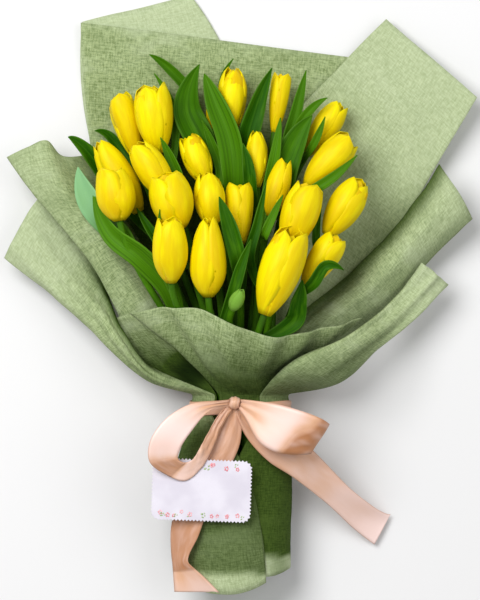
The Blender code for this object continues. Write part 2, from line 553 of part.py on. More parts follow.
def sleeve(shape, angles, slack=1.0, chop=0.0):
    """Rows of a sheet that runs on below the ribbon, round the stems, cut end first.

    Slack lets it stand off on its left side. Chop cuts its first corner off at a slant.
    """
    half_x, half_z, cut = shape
    rows = []
    for y, (start, end) in zip((cut,) + SLEEVE_STOPS, angles):
        rows.append(ellipse_arc(y, half_x, half_z, SLEEVE_Z, start, end, 5))
    for point in rows[0]:
        point.y += CUT_ROUNDING * abs(point.x / half_x) ** 6
    rows[0][0].y += chop
    for row in rows[1:]:
        for point in row:
            point.x *= slack if point.x < 0 else 1.0
    return rows


def wraps():
    """The nine sheets, from the back to the front. Angles go round the neck from the right."""
    wrap_sheet("wrap_back_liner", BACK_LINER, gather(3, 228, 312), 12, 9, WRAP_THICKNESS / 2)
    back = sleeve(BACK_SLEEVE, [(182, 358), (182, 358), (182, 358)])
    wrap_sheet("wrap_back_sheet", BACK_SHEET, back + gather(2, 205, 315), 16, 11, BACK_SHEET_REST)
    wrap_sheet("wrap_right_upper", RIGHT_UPPER_FLAP, gather(1, -44, 8), 12, 9)
    wrap_sheet("wrap_right_middle", RIGHT_MIDDLE_PLEAT, gather(0, -20, 35), 12, 9)
    right = sleeve(RIGHT_SLEEVE, [(105, -8), (105, -8), (98, -8)])
    wrap_sheet("wrap_right_lower", RIGHT_LOWER_PLEAT, right + gather(5, 66, -8), 16, 9)
    wrap_sheet("wrap_front_collar", FRONT_COLLAR, gather(3, 118, 25, 8), 9, 15)
    wrap_sheet("wrap_left_pleat", LEFT_PLEAT, gather(4, 131, 121), 11, 9)
    left = sleeve(LEFT_SLEEVE, [(60, 190), (66, 190), (84, 190)], LEFT_SLACK, LEFT_CHOP)
    wrap_sheet("wrap_left_outer", LEFT_OUTER, left + gather(5, 123, 188), 21, 9)
    wrap_sheet("wrap_left_band", LEFT_BAND, gather(0, 186, 164), 12, 9)


def ring_band(name, half_x, half_z, thickness, edges, look, sides=28):
    """A flat band round the neck."""
    points = []
    for y, grow in ((edges[0], 0), (edges[1], 0), (edges[1], thickness), (edges[0], thickness)):
        points += ellipse_arc(y, half_x + grow, half_z + grow, NECK_Z, 0, 360 * (1 - 1 / sides), sides)
    faces = []
    for k in range(4):
        n = (k + 1) % 4
        for j in range(sides):
            m = (j + 1) % sides
            faces.append((k * sides + j, k * sides + m, n * sides + m, n * sides + j))
    return add_object(name, points, faces, look)


def ribbon_strip(name, edges, rows, columns=3):
    net = [[Vector(a), Vector(b)] for a, b in edges]
    return grid_solid(name, smooth_rows(net, rows, columns), RIBBON_THICKNESS, SATIN_PEACH)


def join(made, others):
    """Joins solids that overlap into one solid."""
    for other in others:
        other.hide_render = True
        other.display_type = "WIRE"
        union = made.modifiers.new("join", "BOOLEAN")
        union.operation = "UNION"
        union.object = other
    return made


def ribbon():
    half_x = NECK_INNER[0] + LAYER_STEP[0] * BAND_LAYER - RIBBON_THICKNESS / 2
    half_z = NECK_INNER[1] + LAYER_STEP[1] * BAND_LAYER - RIBBON_THICKNESS / 2
    band = ring_band("ribbon_bow", half_x, half_z, RIBBON_THICKNESS, BAND_EDGES_Y, SATIN_PEACH)
    knot = []
    for z in (KNOT_LOW, KNOT_HIGH):
        for x, y in BOX_CORNERS:
            knot.append(KNOT_CENTRE + Vector((x * KNOT_HALF[0], y * KNOT_HALF[1], z)))
    join(band, [
        add_object("knot", knot, BOX_FACES, SATIN_PEACH),
        ribbon_strip("loop_left", LEFT_LOOP, 27),
        ribbon_strip("loop_right", RIGHT_LOOP, 21),
        ribbon_strip("tail_left", LEFT_TAIL, 17),
        ribbon_strip("tail_right", RIGHT_TAIL, 15),
    ])


def card():
    """The card, flat and blank, lying on the wrap below the bow."""
    wide, tall, thick = CARD_SIZE
    corners = []
    for z in (-thick / 2, thick / 2):
        for sx, sy in BOX_CORNERS:
            x, y = sx * wide / 2, sy * tall / 2
            place = CARD_CENTRE + Vector((x + y * CARD_TURN, y - x * CARD_TURN, z + x * CARD_SLOPE))
            corners.append(place)
    add_object("greeting_card", corners, BOX_FACES, CARD_WHITE)


def main():
    for old in list(bpy.data.objects):
        bpy.data.objects.remove(old, do_unlink=True)
    for plant in PLANTS:
        head(plant)
        stem(plant)
    join(stem(BUD), [head(BUD, 6, STEM_GREEN)])
    wraps()
    ring_band("stem_tie", TIE_HALF_WIDTHS[0] - TIE_THICKNESS / 2, TIE_HALF_WIDTHS[1] - TIE_THICKNESS / 2,
              TIE_THICKNESS, TIE_EDGES_Y, TWINE)
    ribbon()
    card()


main()
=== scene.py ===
"""A wrapped bunch of yellow tulips lying on its back, finished round its CAD frame."""
import math
from collections import namedtuple

import bmesh
import bpy
from bpy.props import FloatProperty, FloatVectorProperty, IntProperty, PointerProperty
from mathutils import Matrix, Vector, noise


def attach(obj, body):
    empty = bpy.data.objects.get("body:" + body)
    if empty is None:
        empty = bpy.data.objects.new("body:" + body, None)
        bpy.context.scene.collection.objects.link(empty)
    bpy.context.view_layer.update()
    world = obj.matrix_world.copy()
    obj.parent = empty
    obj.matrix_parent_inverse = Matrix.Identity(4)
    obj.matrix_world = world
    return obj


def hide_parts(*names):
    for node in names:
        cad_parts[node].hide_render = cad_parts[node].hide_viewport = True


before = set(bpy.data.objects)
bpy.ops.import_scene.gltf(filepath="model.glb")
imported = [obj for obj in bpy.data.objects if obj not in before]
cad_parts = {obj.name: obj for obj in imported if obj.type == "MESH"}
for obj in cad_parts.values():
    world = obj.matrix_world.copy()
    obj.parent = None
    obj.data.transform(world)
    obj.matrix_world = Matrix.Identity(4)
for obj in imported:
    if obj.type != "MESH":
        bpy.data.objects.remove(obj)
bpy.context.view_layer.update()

bl_info = {
    "name": "Wrapped tulip bunch",
    "version": (1, 0, 0),
    "blender": (4, 5, 0),
    "location": "3D View > Sidebar > Tulips",
    "description": "Builds the petals, leaves, woven wrap, satin bow and card of a cut bunch",
    "category": "Add Mesh",
}

BODY = "root"

# Driving dimensions, in metres.
STEM_RADIUS = 0.0029       # just under the flower
STEM_FOOT_RADIUS = 0.0043  # at the tie and below it
STEM_PITCH_X = 0.0095      # spacing of the stems across the neck
STEM_PITCH_Z = 0.0078      # spacing of the rows of stems, back to front
STEM_END_Y = -0.236        # where the stems are cut
NECK_Y = -0.092            # where the stems start to spread, at the ribbon's upper edge
NECK_Z = 0.0325            # height of the bundle's centre line at the neck
CARD_SIZE = (0.085, 0.053, 0.0008)

# The neck is an ellipse. Each layer of wrap lies outside the one before it.
NECK_INNER = (0.0354, 0.0242)
LAYER_STEP = (0.0013, 0.0012)
TIE_HALF_WIDTHS = (0.0338, 0.0228)
GATHER_STOPS = (-0.106, -0.096, -0.086)   # rows of a gathered sheet under the ribbon
SLEEVE_STOPS = (-0.200, -0.150)           # rows of a sheet that runs on round the stems
SLEEVE_Z = 0.0312
# Each sheet's sleeve: half width, half height, and where it is cut.
BACK_SLEEVE = (0.0400, 0.0300, -0.243)
RIGHT_SLEEVE = (0.0424, 0.0303, -0.241)
LEFT_SLEEVE = (0.0438, 0.0326, -0.255)
BACK_HEM, RIGHT_HEM, LEFT_HEM = -0.232, -0.222, -0.236   # below these it stands clear of the stems
LEFT_SLACK = 1.24                         # how much wider the left sheet hangs on its left side
LEFT_CHOP = 0.009                         # how much of its right corner is cut off at a slant
CUT_ROUNDING = 0.008                      # how far a sheet's corners are rounded off at its cut end
BAND_LAYER = 6
BAND_EDGES_Y = (-0.104, -0.092)
TIE_EDGES_Y = (-0.102, -0.094)            # of the twine, under the ribbon's band

# How a stem leaves the neck and meets its head, as shares of the distance between them.
STEM_REACH = 0.33
STEM_HEAD_REACH = 0.8
# A leaf is widest at LEAF_BELLY of its length; at its sheath it has LEAF_SHEATH of that width.
LEAF_BELLY = 0.45
LEAF_SHEATH = 0.42
LEAF_TAPER = (2.2, 0.9)    # how bluntly it narrows past its belly, and how finely it ends
HEAD_FOOT = 0.30           # a head's radius where it sits on its stem, as a share of its radius
# Each head: where along it it is widest, and the width at its rim as a share of the widest.
HEAD_SHAPE = {
    "01": (0.74, 0.78), "02": (0.66, 0.74), "03": (0.50, 0.42), "04": (0.46, 0.66), "05": (0.58, 0.62),
    "06": (0.56, 0.70), "07": (0.55, 0.72), "08": (0.52, 0.56), "09": (0.48, 0.64), "10": (0.36, 0.34),
    "11": (0.78, 0.76), "12": (0.64, 0.40), "13": (0.50, 0.40), "14": (0.80, 0.82), "15": (0.60, 0.42),
    "16": (0.50, 0.42), "17": (0.60, 0.64), "18": (0.62, 0.68), "19": (0.60, 0.60), "20": (0.62, 0.66),
    "21": (0.70, 0.72), "22": (0.62, 0.66), "bud": (0.45, 0.40),
}

Leaf = namedtuple("Leaf", "at path width")
Plant = namedtuple("Plant", "name slot base tip radius leaves")

# Each plant: its place in the neck (across, row), the base and tip of its head, the head's
# greatest radius, and its leaves: where on the stem a leaf starts, as a share of the stem, its
# route and its width.
PLANTS = [
    Plant("01", (-1.5, -1), (-0.088, 0.115, 0.022), (-0.105, 0.170, 0.026), 0.0112, [
        Leaf(0.85, [(-0.101, 0.120, 0.008), (-0.113, 0.135, 0.008), (-0.125, 0.139, 0.012)], 0.008),
    ]),
    Plant("02", (-0.5, -1), (-0.070, 0.119, 0.036), (-0.077, 0.180, 0.040), 0.0160, [
        Leaf(0.80, [(-0.055, 0.139, 0.024), (-0.060, 0.164, 0.018), (-0.074, 0.188, 0.016)], 0.007),
        Leaf(0.86, [(-0.053, 0.094, 0.046), (-0.059, 0.113, 0.05), (-0.068, 0.132, 0.054)], 0.009),
    ]),
    Plant("03", (-2.5, -1), (-0.086, 0.069, 0.042), (-0.122, 0.130, 0.044), 0.0135, [
        Leaf(0.85, [(-0.101, 0.081, 0.024), (-0.130, 0.120, 0.03), (-0.147, 0.133, 0.034)], 0.013),
    ]),
    Plant("04", (-3, 0), (-0.102, 0.061, 0.076), (-0.109, 0.106, 0.076), 0.0158, [
        Leaf(0.35, [(-0.060, 0.002, 0.066), (-0.084, 0.030, 0.077), (-0.111, 0.052, 0.071),
                    (-0.125, 0.086, 0.058)], 0.018),
        Leaf(0.75, [(-0.100, 0.046, 0.058), (-0.121, 0.068, 0.058), (-0.132, 0.087, 0.057),
                    (-0.138, 0.107, 0.056)], 0.020),
    ]),
    Plant("05", (-2, 0), (-0.059, 0.079, 0.06), (-0.089, 0.128, 0.06), 0.0132, [
        Leaf(0.65, [(-0.055, 0.026, 0.058), (-0.074, 0.050, 0.064), (-0.088, 0.072, 0.062)], 0.009),
    ]),
    Plant("06", (-1.5, 1), (-0.051, 0.054, 0.086), (-0.064, 0.101, 0.086), 0.0172, []),
    Plant("07", (0.5, -1), (-0.029, 0.093, 0.046), (-0.045, 0.135, 0.044), 0.0112, [
        Leaf(0.90, [(-0.017, 0.103, 0.034), (-0.024, 0.126, 0.034), (-0.033, 0.147, 0.036)], 0.008),
    ]),
    Plant("08", (-1, 0), (-0.024, 0.057, 0.074), (-0.028, 0.103, 0.073), 0.0125, []),
    Plant("09", (-1.5, 2), (-0.058, 0.009, 0.097), (-0.060, 0.064, 0.11), 0.0145, [
        Leaf(0.80, [(-0.067, 0.026, 0.078), (-0.068, 0.047, 0.084), (-0.068, 0.070, 0.1)], 0.006),
    ]),
    Plant("10", (-0.5, 2), (-0.027, -0.003, 0.094), (-0.028, 0.064, 0.104), 0.0146, [
        Leaf(0.60, [(-0.007, -0.002, 0.091), (0.000, 0.021, 0.094), (0.009, 0.045, 0.096)], 0.009),
    ]),
    Plant("11", (0, 0), (0.000, 0.041, 0.066), (-0.001, 0.093, 0.062), 0.0110, [
        Leaf(0.65, [(-0.002, 0.026, 0.088), (-0.010, 0.057, 0.092), (-0.018, 0.081, 0.092)], 0.013),
    ]),
    Plant("12", (-0.5, -2), (-0.008, 0.137, 0.026), (-0.006, 0.193, 0.028), 0.0118, [
        Leaf(0.70, [(-0.006, 0.099, 0.0375), (-0.010, 0.132, 0.041), (-0.022, 0.164, 0.041),
                    (-0.031, 0.187, 0.038)], 0.019),
        Leaf(0.88, [(-0.011, 0.154, 0.007), (-0.016, 0.179, 0.007), (-0.006, 0.201, 0.011)], 0.006),
    ]),
    Plant("13", (-1.5, -2), (-0.023, 0.139, 0.019), (-0.024, 0.169, 0.018), 0.0055, [
        Leaf(0.75, [(-0.034, 0.130, 0.026), (-0.046, 0.160, 0.027), (-0.035, 0.195, 0.034)], 0.023),
        Leaf(0.88, [(-0.043, 0.171, 0.013), (-0.062, 0.193, 0.015), (-0.078, 0.204, 0.02)], 0.008),
    ]),
    Plant("14", (0.5, -2), (0.029, 0.137, 0.024), (0.036, 0.188, 0.026), 0.0080, [
        Leaf(0.80, [(0.006, 0.122, 0.033), (0.013, 0.157, 0.037), (0.027, 0.192, 0.038)], 0.016),
    ]),
    Plant("15", (1.5, -1), (0.014, 0.090, 0.044), (0.014, 0.139, 0.044), 0.0086, [
        Leaf(0.85, [(0.008, 0.094, 0.055), (0.006, 0.109, 0.058), (0.002, 0.127, 0.058)], 0.010),
    ]),
    Plant("16", (1, 0), (0.025, 0.065, 0.058), (0.038, 0.113, 0.058), 0.0098, [
        Leaf(0.80, [(0.022, 0.075, 0.044), (0.030, 0.120, 0.051), (0.034, 0.149, 0.05)], 0.009),
        Leaf(0.88, [(0.020, 0.048, 0.073), (0.028, 0.066, 0.074), (0.036, 0.083, 0.074)], 0.007),
    ]),
    Plant("17", (1.5, -2), (0.057, 0.119, 0.026), (0.087, 0.163, 0.03), 0.0112, [
        Leaf(0.80, [(0.040, 0.122, 0.028), (0.048, 0.156, 0.032), (0.056, 0.190, 0.035)], 0.010),
        Leaf(0.92, [(0.049, 0.140, 0.04), (0.061, 0.157, 0.045), (0.074, 0.166, 0.047)], 0.007),
        Leaf(0.94, [(0.060, 0.123, 0.042), (0.066, 0.134, 0.046), (0.072, 0.150, 0.048)], 0.006),
    ]),
    Plant("18", (2.5, -1), (0.056, 0.091, 0.048), (0.095, 0.132, 0.05), 0.0138, [
        Leaf(0.75, [(0.037, 0.100, 0.043), (0.046, 0.128, 0.046), (0.061, 0.151, 0.046)], 0.020),
        Leaf(0.93, [(0.061, 0.087, 0.062), (0.080, 0.099, 0.065), (0.099, 0.117, 0.062)], 0.008),
    ]),
    Plant("19", (3, 0), (0.073, 0.049, 0.062), (0.103, 0.096, 0.064), 0.0138, [
        Leaf(0.88, [(0.064, 0.043, 0.064), (0.065, 0.065, 0.066), (0.070, 0.086, 0.07)], 0.006),
    ]),
    Plant("20", (1.5, 1), (0.040, 0.037, 0.078), (0.059, 0.093, 0.08), 0.0155, [
        Leaf(0.60, [(0.008, 0.026, 0.075), (0.014, 0.058, 0.077), (0.022, 0.094, 0.077)], 0.008),
    ]),
    Plant("21", (2.5, 1), (0.054, 0.006, 0.076), (0.083, 0.049, 0.082), 0.0120, [
        Leaf(0.90, [(0.061, 0.008, 0.092), (0.072, 0.023, 0.098), (0.087, 0.019, 0.094)], 0.009),
    ]),
    Plant("22", (0.5, 2), (0.020, -0.018, 0.098), (0.046, 0.055, 0.104), 0.0170, [
        Leaf(0.65, [(0.044, -0.025, 0.08), (0.049, -0.008, 0.086), (0.052, 0.011, 0.089)], 0.014),
    ]),
]
BUD = Plant("bud", (0.5, 1), (-0.0070, -0.0145, 0.098), (0.0015, 0.0035, 0.110), 0.0056, [])

# Wrap sheets: rows of points from the neck outwards, each row from one side of the sheet to the
# other. The rows at the neck are arcs of the neck ellipse and are worked out below.
BACK_LINER = [
    [(-0.055, -0.050, 0.0004), (-0.033, -0.052, 0.0004), (-0.009, -0.053, 0.0004),
     (0.011, -0.052, 0.0004), (0.028, -0.050, 0.0004)],
    [(-0.104, 0.049, 0.0004), (-0.073, 0.052, 0.0004), (-0.043, 0.054, 0.0004),
     (-0.013, 0.055, 0.0004), (0.018, 0.057, 0.0004)],
    [(-0.133, 0.149, 0.0004), (-0.098, 0.154, 0.0004), (-0.064, 0.159, 0.0004),
     (-0.030, 0.164, 0.0004), (0.002, 0.169, 0.0004)],
    [(-0.136, 0.233, 0.001), (-0.113, 0.239, 0.0004), (-0.090, 0.244, 0.0004), (-0.066, 0.250, 0.001),
     (-0.043, 0.256, 0.0025)],
]
BACK_SHEET = [
    [(-0.065, -0.031, 0.0035), (-0.040, -0.034, 0.0022), (-0.012, -0.037, 0.0022),
     (0.017, -0.037, 0.0022), (0.045, -0.034, 0.0035)],
    [(-0.119, 0.079, 0.004), (-0.073, 0.072, 0.0022), (-0.013, 0.066, 0.0022), (0.042, 0.062, 0.0022),
     (0.089, 0.058, 0.003)],
    [(-0.133, 0.164, 0.004), (-0.077, 0.160, 0.0022), (-0.013, 0.154, 0.0022), (0.046, 0.147, 0.0022),
     (0.106, 0.140, 0.003)],
    [(-0.137, 0.232, 0.008), (-0.077, 0.225, 0.004), (-0.009, 0.216, 0.003), (0.051, 0.208, 0.003),
     (0.114, 0.200, 0.003)],
]
RIGHT_UPPER_FLAP = [
    [(0.012, 0.024, 0.005), (0.029, 0.008, 0.006), (0.048, -0.008, 0.009), (0.065, -0.018, 0.009),
     (0.083, -0.025, 0.009)],
    [(0.042, 0.143, 0.005), (0.063, 0.113, 0.006), (0.089, 0.083, 0.009), (0.112, 0.062, 0.010),
     (0.131, 0.045, 0.011)],
    [(0.083, 0.192, 0.007), (0.106, 0.171, 0.009), (0.129, 0.151, 0.013), (0.150, 0.132, 0.015),
     (0.170, 0.113, 0.020)],
    [(0.125, 0.235, 0.01), (0.144, 0.218, 0.014), (0.164, 0.201, 0.018), (0.183, 0.184, 0.024),
     (0.202, 0.167, 0.03)],
]
RIGHT_MIDDLE_PLEAT = [
    [(0.038, -0.031, 0.016), (0.046, -0.036, 0.031), (0.055, -0.039, 0.042), (0.063, -0.044, 0.04),
     (0.073, -0.049, 0.026)],
    [(0.095, 0.018, 0.016), (0.102, 0.011, 0.034), (0.109, 0.004, 0.044), (0.117, -0.004, 0.034),
     (0.126, -0.013, 0.014)],
    [(0.140, 0.066, 0.022), (0.145, 0.056, 0.037), (0.150, 0.046, 0.044), (0.155, 0.036, 0.038),
     (0.160, 0.025, 0.024)],
    [(0.170, 0.110, 0.034), (0.177, 0.099, 0.038), (0.185, 0.087, 0.042), (0.192, 0.075, 0.04),
     (0.198, 0.063, 0.034)],
]
RIGHT_LOWER_PLEAT = [
    [(0.042, -0.058, 0.078), (0.052, -0.064, 0.087), (0.065, -0.071, 0.078), (0.078, -0.077, 0.06),
     (0.089, -0.074, 0.04)],
    [(0.090, -0.035, 0.066), (0.094, -0.040, 0.074), (0.101, -0.046, 0.067), (0.108, -0.050, 0.054),
     (0.116, -0.050, 0.038)],
    [(0.124, -0.011, 0.034), (0.127, -0.016, 0.039), (0.134, -0.021, 0.04), (0.141, -0.025, 0.038),
     (0.146, -0.025, 0.032)],
    [(0.154, 0.026, 0.038), (0.161, 0.021, 0.041), (0.168, 0.015, 0.040), (0.174, 0.010, 0.035),
     (0.179, 0.006, 0.026)],
]
FRONT_COLLAR = [
    [(-0.047, -0.054, 0.06), (-0.032, -0.061, 0.072), (-0.016, -0.067, 0.08), (0.000, -0.071, 0.082),
     (0.015, -0.071, 0.074), (0.028, -0.067, 0.062), (0.042, -0.064, 0.05), (0.056, -0.060, 0.038)],
    [(-0.077, -0.030, 0.062), (-0.051, -0.031, 0.082), (-0.026, -0.040, 0.094),
     (0.000, -0.050, 0.096), (0.023, -0.055, 0.09), (0.045, -0.050, 0.077), (0.066, -0.045, 0.058),
     (0.089, -0.038, 0.038)],
    [(-0.094, -0.017, 0.058), (-0.064, -0.013, 0.086), (-0.034, -0.014, 0.1), (0.000, -0.029, 0.102),
     (0.029, -0.037, 0.096), (0.055, -0.033, 0.079), (0.080, -0.028, 0.058), (0.105, -0.022, 0.038)],
]
LEFT_PLEAT = [
    [(-0.071, -0.069, 0.033), (-0.060, -0.067, 0.040), (-0.050, -0.067, 0.0455), (-0.041, -0.067, 0.049),
     (-0.033, -0.068, 0.0525)],
    [(-0.099, -0.048, 0.032), (-0.086, -0.044, 0.040), (-0.073, -0.043, 0.046), (-0.060, -0.044, 0.050),
     (-0.049, -0.046, 0.051)],
    [(-0.119, -0.023, 0.029), (-0.106, -0.021, 0.0385), (-0.094, -0.018, 0.047), (-0.083, -0.019, 0.049),
     (-0.072, -0.022, 0.048)],
]
LEFT_OUTER = [
    [(-0.077, -0.061, 0.044), (-0.076, -0.067, 0.053), (-0.076, -0.072, 0.056),
     (-0.078, -0.075, 0.046), (-0.079, -0.071, 0.026)],
    [(-0.102, -0.027, 0.046), (-0.101, -0.036, 0.051), (-0.102, -0.044, 0.054),
     (-0.108, -0.048, 0.044), (-0.113, -0.044, 0.024)],
    [(-0.1125, 0.000, 0.030), (-0.116, -0.008, 0.038), (-0.121, -0.016, 0.044), (-0.129, -0.024, 0.040),
     (-0.136, -0.024, 0.023)],
    [(-0.131, 0.050, 0.016), (-0.144, 0.034, 0.027), (-0.153, 0.021, 0.034), (-0.162, 0.008, 0.032),
     (-0.169, 0.003, 0.022)],
    [(-0.164, 0.092, 0.02), (-0.179, 0.073, 0.024), (-0.187, 0.059, 0.028), (-0.195, 0.044, 0.028),
     (-0.202, 0.030, 0.024)],
]
LEFT_BAND = [
    [(-0.072, -0.054, 0.030), (-0.064, -0.050, 0.035), (-0.057, -0.046, 0.034),
     (-0.054, -0.044, 0.027), (-0.051, -0.043, 0.02)],
    [(-0.100, -0.025, 0.036), (-0.088, -0.016, 0.044), (-0.074, -0.008, 0.042),
     (-0.063, -0.004, 0.03), (-0.053, -0.002, 0.018)],
    [(-0.126, 0.024, 0.04), (-0.118, 0.032, 0.048), (-0.108, 0.038, 0.05), (-0.097, 0.042, 0.044),
     (-0.087, 0.045, 0.028)],
    [(-0.175, 0.083, 0.036), (-0.162, 0.088, 0.044), (-0.148, 0.088, 0.046), (-0.133, 0.088, 0.036),
     (-0.113, 0.088, 0.018)],
    [(-0.199, 0.116, 0.034), (-0.182, 0.124, 0.04), (-0.165, 0.130, 0.04), (-0.151, 0.117, 0.030),
     (-0.123, 0.121, 0.016)],
]

# Ribbon: pairs of points on its two edges, from the knot along its length.
LEFT_LOOP = [
    ((-0.008, -0.090, 0.07), (-0.008, -0.097, 0.07)),
    ((-0.023, -0.092, 0.078), (-0.021, -0.097, 0.076)),
    ((-0.043, -0.094, 0.083), (-0.031, -0.104, 0.081)),
    ((-0.063, -0.106, 0.086), (-0.040, -0.115, 0.083)),
    ((-0.076, -0.124, 0.086), (-0.049, -0.128, 0.083)),
    ((-0.077, -0.142, 0.082), (-0.053, -0.139, 0.080)),
    ((-0.064, -0.153, 0.0745), (-0.048, -0.143, 0.078)),
    ((-0.047, -0.159, 0.0718), (-0.041, -0.141, 0.077)),
    ((-0.033, -0.148, 0.0728), (-0.035, -0.132, 0.078)),
    ((-0.023, -0.132, 0.072), (-0.028, -0.119, 0.075)),
    ((-0.016, -0.114, 0.071), (-0.020, -0.105, 0.072)),
    ((-0.007, -0.099, 0.07), (-0.011, -0.095, 0.071)),
]
RIGHT_LOOP = [
    ((-0.002, -0.090, 0.07), (-0.002, -0.097, 0.07)),
    ((0.012, -0.091, 0.078), (0.005, -0.108, 0.076)),
    ((0.032, -0.094, 0.086), (0.015, -0.125, 0.082)),
    ((0.053, -0.100, 0.09), (0.029, -0.134, 0.084)),
    ((0.068, -0.106, 0.088), (0.048, -0.137, 0.082)),
    ((0.075, -0.111, 0.08), (0.060, -0.136, 0.076)),
    ((0.066, -0.111, 0.072), (0.052, -0.133, 0.07)),
    ((0.038, -0.101, 0.07), (0.027, -0.125, 0.069)),
    ((0.004, -0.094, 0.069), (0.000, -0.101, 0.069)),
]
RIGHT_TAIL = [
    ((0.000, -0.095, 0.067), (-0.004, -0.100, 0.067)),
    ((0.018, -0.105, 0.067), (0.005, -0.122, 0.067)),
    ((0.042, -0.118, 0.065), (0.023, -0.142, 0.066)),
    ((0.063, -0.135, 0.056), (0.044, -0.156, 0.058)),
    ((0.093, -0.166, 0.034), (0.074, -0.180, 0.034)),
    ((0.117, -0.185, 0.014), (0.096, -0.201, 0.014)),
    ((0.129, -0.190, 0.005), (0.115, -0.216, 0.005)),
]
LEFT_TAIL = [
    ((-0.009, -0.095, 0.067), (-0.002, -0.096, 0.067)),
    ((-0.023, -0.118, 0.066), (0.000, -0.125, 0.066)),
    ((-0.038, -0.149, 0.065), (-0.012, -0.154, 0.066)),
    ((-0.055, -0.183, 0.06), (-0.029, -0.188, 0.065)),
    ((-0.059, -0.201, 0.056), (-0.036, -0.207, 0.064)),
    ((-0.059, -0.220, 0.052), (-0.043, -0.221, 0.062)),
    ((-0.058, -0.232, 0.05), (-0.044, -0.229, 0.063)),
    ((-0.057, -0.242, 0.05), (-0.031, -0.241, 0.064)),
    ((-0.056, -0.254, 0.048), (-0.018, -0.254, 0.062)),
]

# Knot of the bow, and the card that lies below it.
KNOT_CENTRE = Vector((-0.005, -0.093, 0.0705))
CARD_CENTRE = Vector((-0.033, -0.167, 0.071))
CARD_TURN = 0.035          # clockwise, as a slope
CARD_SLOPE = 0.06          # the right end lies higher

# Finish sizes, in metres, that the frame leaves open.
PETAL_SWELL = 1.06                     # a head's petals over its CAD radius
STEM_INTO_HEAD = 0.004
LEAF_SWELL = 1.12                      # a leaf's width over its CAD width
LEAF_TIP = 0.0003                      # half width that a leaf keeps at its very tip
LEAF_TWIST = 0.9                       # sheath to tip, between the two opposite extremes, in radians
# How far a leaf's edges rise, its middle sinks and its edges ripple, as shares of its half width.
LEAF_CUP, LEAF_KEEL, LEAF_RIPPLE = 0.42, 0.12, 0.16
# Gathers, by distance from the neck: where they start and are full, start to die out and are gone.
GATHERS_ABOVE = (0.006, 0.040, 0.070, 0.190)
GATHERS_BELOW = (0.012, 0.040, 0.050, 0.160)
BELOW_SHARE = 0.35                     # how deep they are below it, over their depth above
# Painted light: a sheet's very edge is painted paler, as where light shows through the single cloth.
HEM_LIT_THROUGH, HEM_STEPS = 0.30, 1.2        # how pale a sheet's very edge is, and how many grid steps in
TWINE_TURNS, TWINE_STEPS = 6, 40       # turns, and points to a turn
TWINE_INSET = 0.001                    # from the tie's edges to the first and last turn
RIBBON_WIDTH = 0.030
SELVEDGE = (0.0138, 0.0146)            # from the ribbon's middle, where its woven edge starts and is full
KNOT_SIZE = (0.0043, 0.0052, 0.0056)   # half sizes
TOOTH_DEPTH, TOOTH_PITCH = 0.0014, 0.0030   # of the card's pinked edge
CARD_CORNER = 0.006
CARD_THICK = CARD_SIZE[2] * 0.6        # card stock is thinner than its CAD slab
PRINT_LIFT = 0.00002                   # the printed blossoms start this far above the card
PRINT_MARGIN = (0.007, 0.0045)         # and keep this far inside its ends and its long edges
PRINT_BAND = 0.005                     # they stay within this of that line along a long edge
# Heads turned so that two outer petals part towards the front, as a share of a third of a turn.
HEAD_TURN = {"11": 0.25, "19": 0.25, "21": 0.25}
BLOOMED_LEAF = ("04", 1)     # the plant, and which of its leaves, with a pale waxy bloom
HEADS_TOGETHER = 4           # flower heads to a piece

# Stage: lights as name, place, size and power; the camera looks straight down.
LIGHTS = [("key", (-0.9, 0.8, 2.0), 1.5, 49.0), ("fill", (1.4, 0.2, 1.9), 1.8, 11.0)]
ROOM_LIGHT = 0.40           # strength of the even light from all round
FLOOR_HALF = 6.0
FLOOR_Z = -0.0006
SENSOR = 36.0               # the camera's sensor, in millimetres
VIEW_LEVEL = 0.05           # height above the floor at which the view's size holds
VIEW_HEIGHT = 0.51          # what the view takes in there, from its top to its bottom
VIEW_CENTRE = (-0.0004, -0.0060)
CAMERA_HEIGHT = 4.5         # above that level


def vectors(places):
    return [Vector(place) for place in places]


def tangent(points, i):
    """Direction of the curve at a point, held short beside a short stretch so it can't bulge."""
    last = len(points) - 1
    if i in (0, last) and last < 2:
        return points[1] - points[0]
    if i == 0:
        return points[1] * 2 - points[0] * 1.5 - points[2] * 0.5
    if i == last:
        return points[last] * 1.5 - points[last - 1] * 2 + points[last - 2] * 0.5
    before = points[i] - points[i - 1]
    after = points[i + 1] - points[i]
    mean = (before + after) / 2
    limit = min(before.length, after.length)
    return mean * min(1.0, limit / max(mean.length, 1e-9))


def spline(points, at):
    """A smooth curve through the points, read at 0 to 1."""
    last = len(points) - 1
    place = min(max(at, 0.0), 1.0) * last
    i = min(int(place), last - 1)
    t = place - i
    start, end = points[i], points[i + 1]
    leave, arrive = tangent(points, i), tangent(points, i + 1)
    bend = (end - start) * 3 - leave * 2 - arrive
    settle = (start - end) * 2 + leave + arrive
    return start + leave * t + bend * t * t + settle * t * t * t


def across(direction):
    """Two directions at right angles to the given one: sideways and upwards."""
    side = direction.cross(Vector((0, 0, 1))).normalized()
    return side, side.cross(direction).normalized()


def head_line(plant):
    """The base of a plant's head, and the direction in which it points."""
    base = Vector(plant.base)
    return base, (Vector(plant.tip) - base).normalized()


def slot_point(plant, y):
    """The middle of a plant's stem where it is straight, at y."""
    column, row = plant.slot
    return Vector((column * STEM_PITCH_X, y, NECK_Z + row * STEM_PITCH_Z))


def stem_point(plant, t):
    """The stem's centre line from the neck (0) to the base of the head (1)."""
    start = slot_point(plant, NECK_Y)
    base, axis = head_line(plant)
    reach = (base - start).length * STEM_REACH
    lean = ((base - start).normalized() + Vector((0, 1, 0))).normalized()
    a = start + lean * reach
    b = base - axis * reach * STEM_HEAD_REACH
    return start * (1 - t) ** 3 + a * 3 * t * (1 - t) ** 2 + b * 3 * t * t * (1 - t) + base * t ** 3


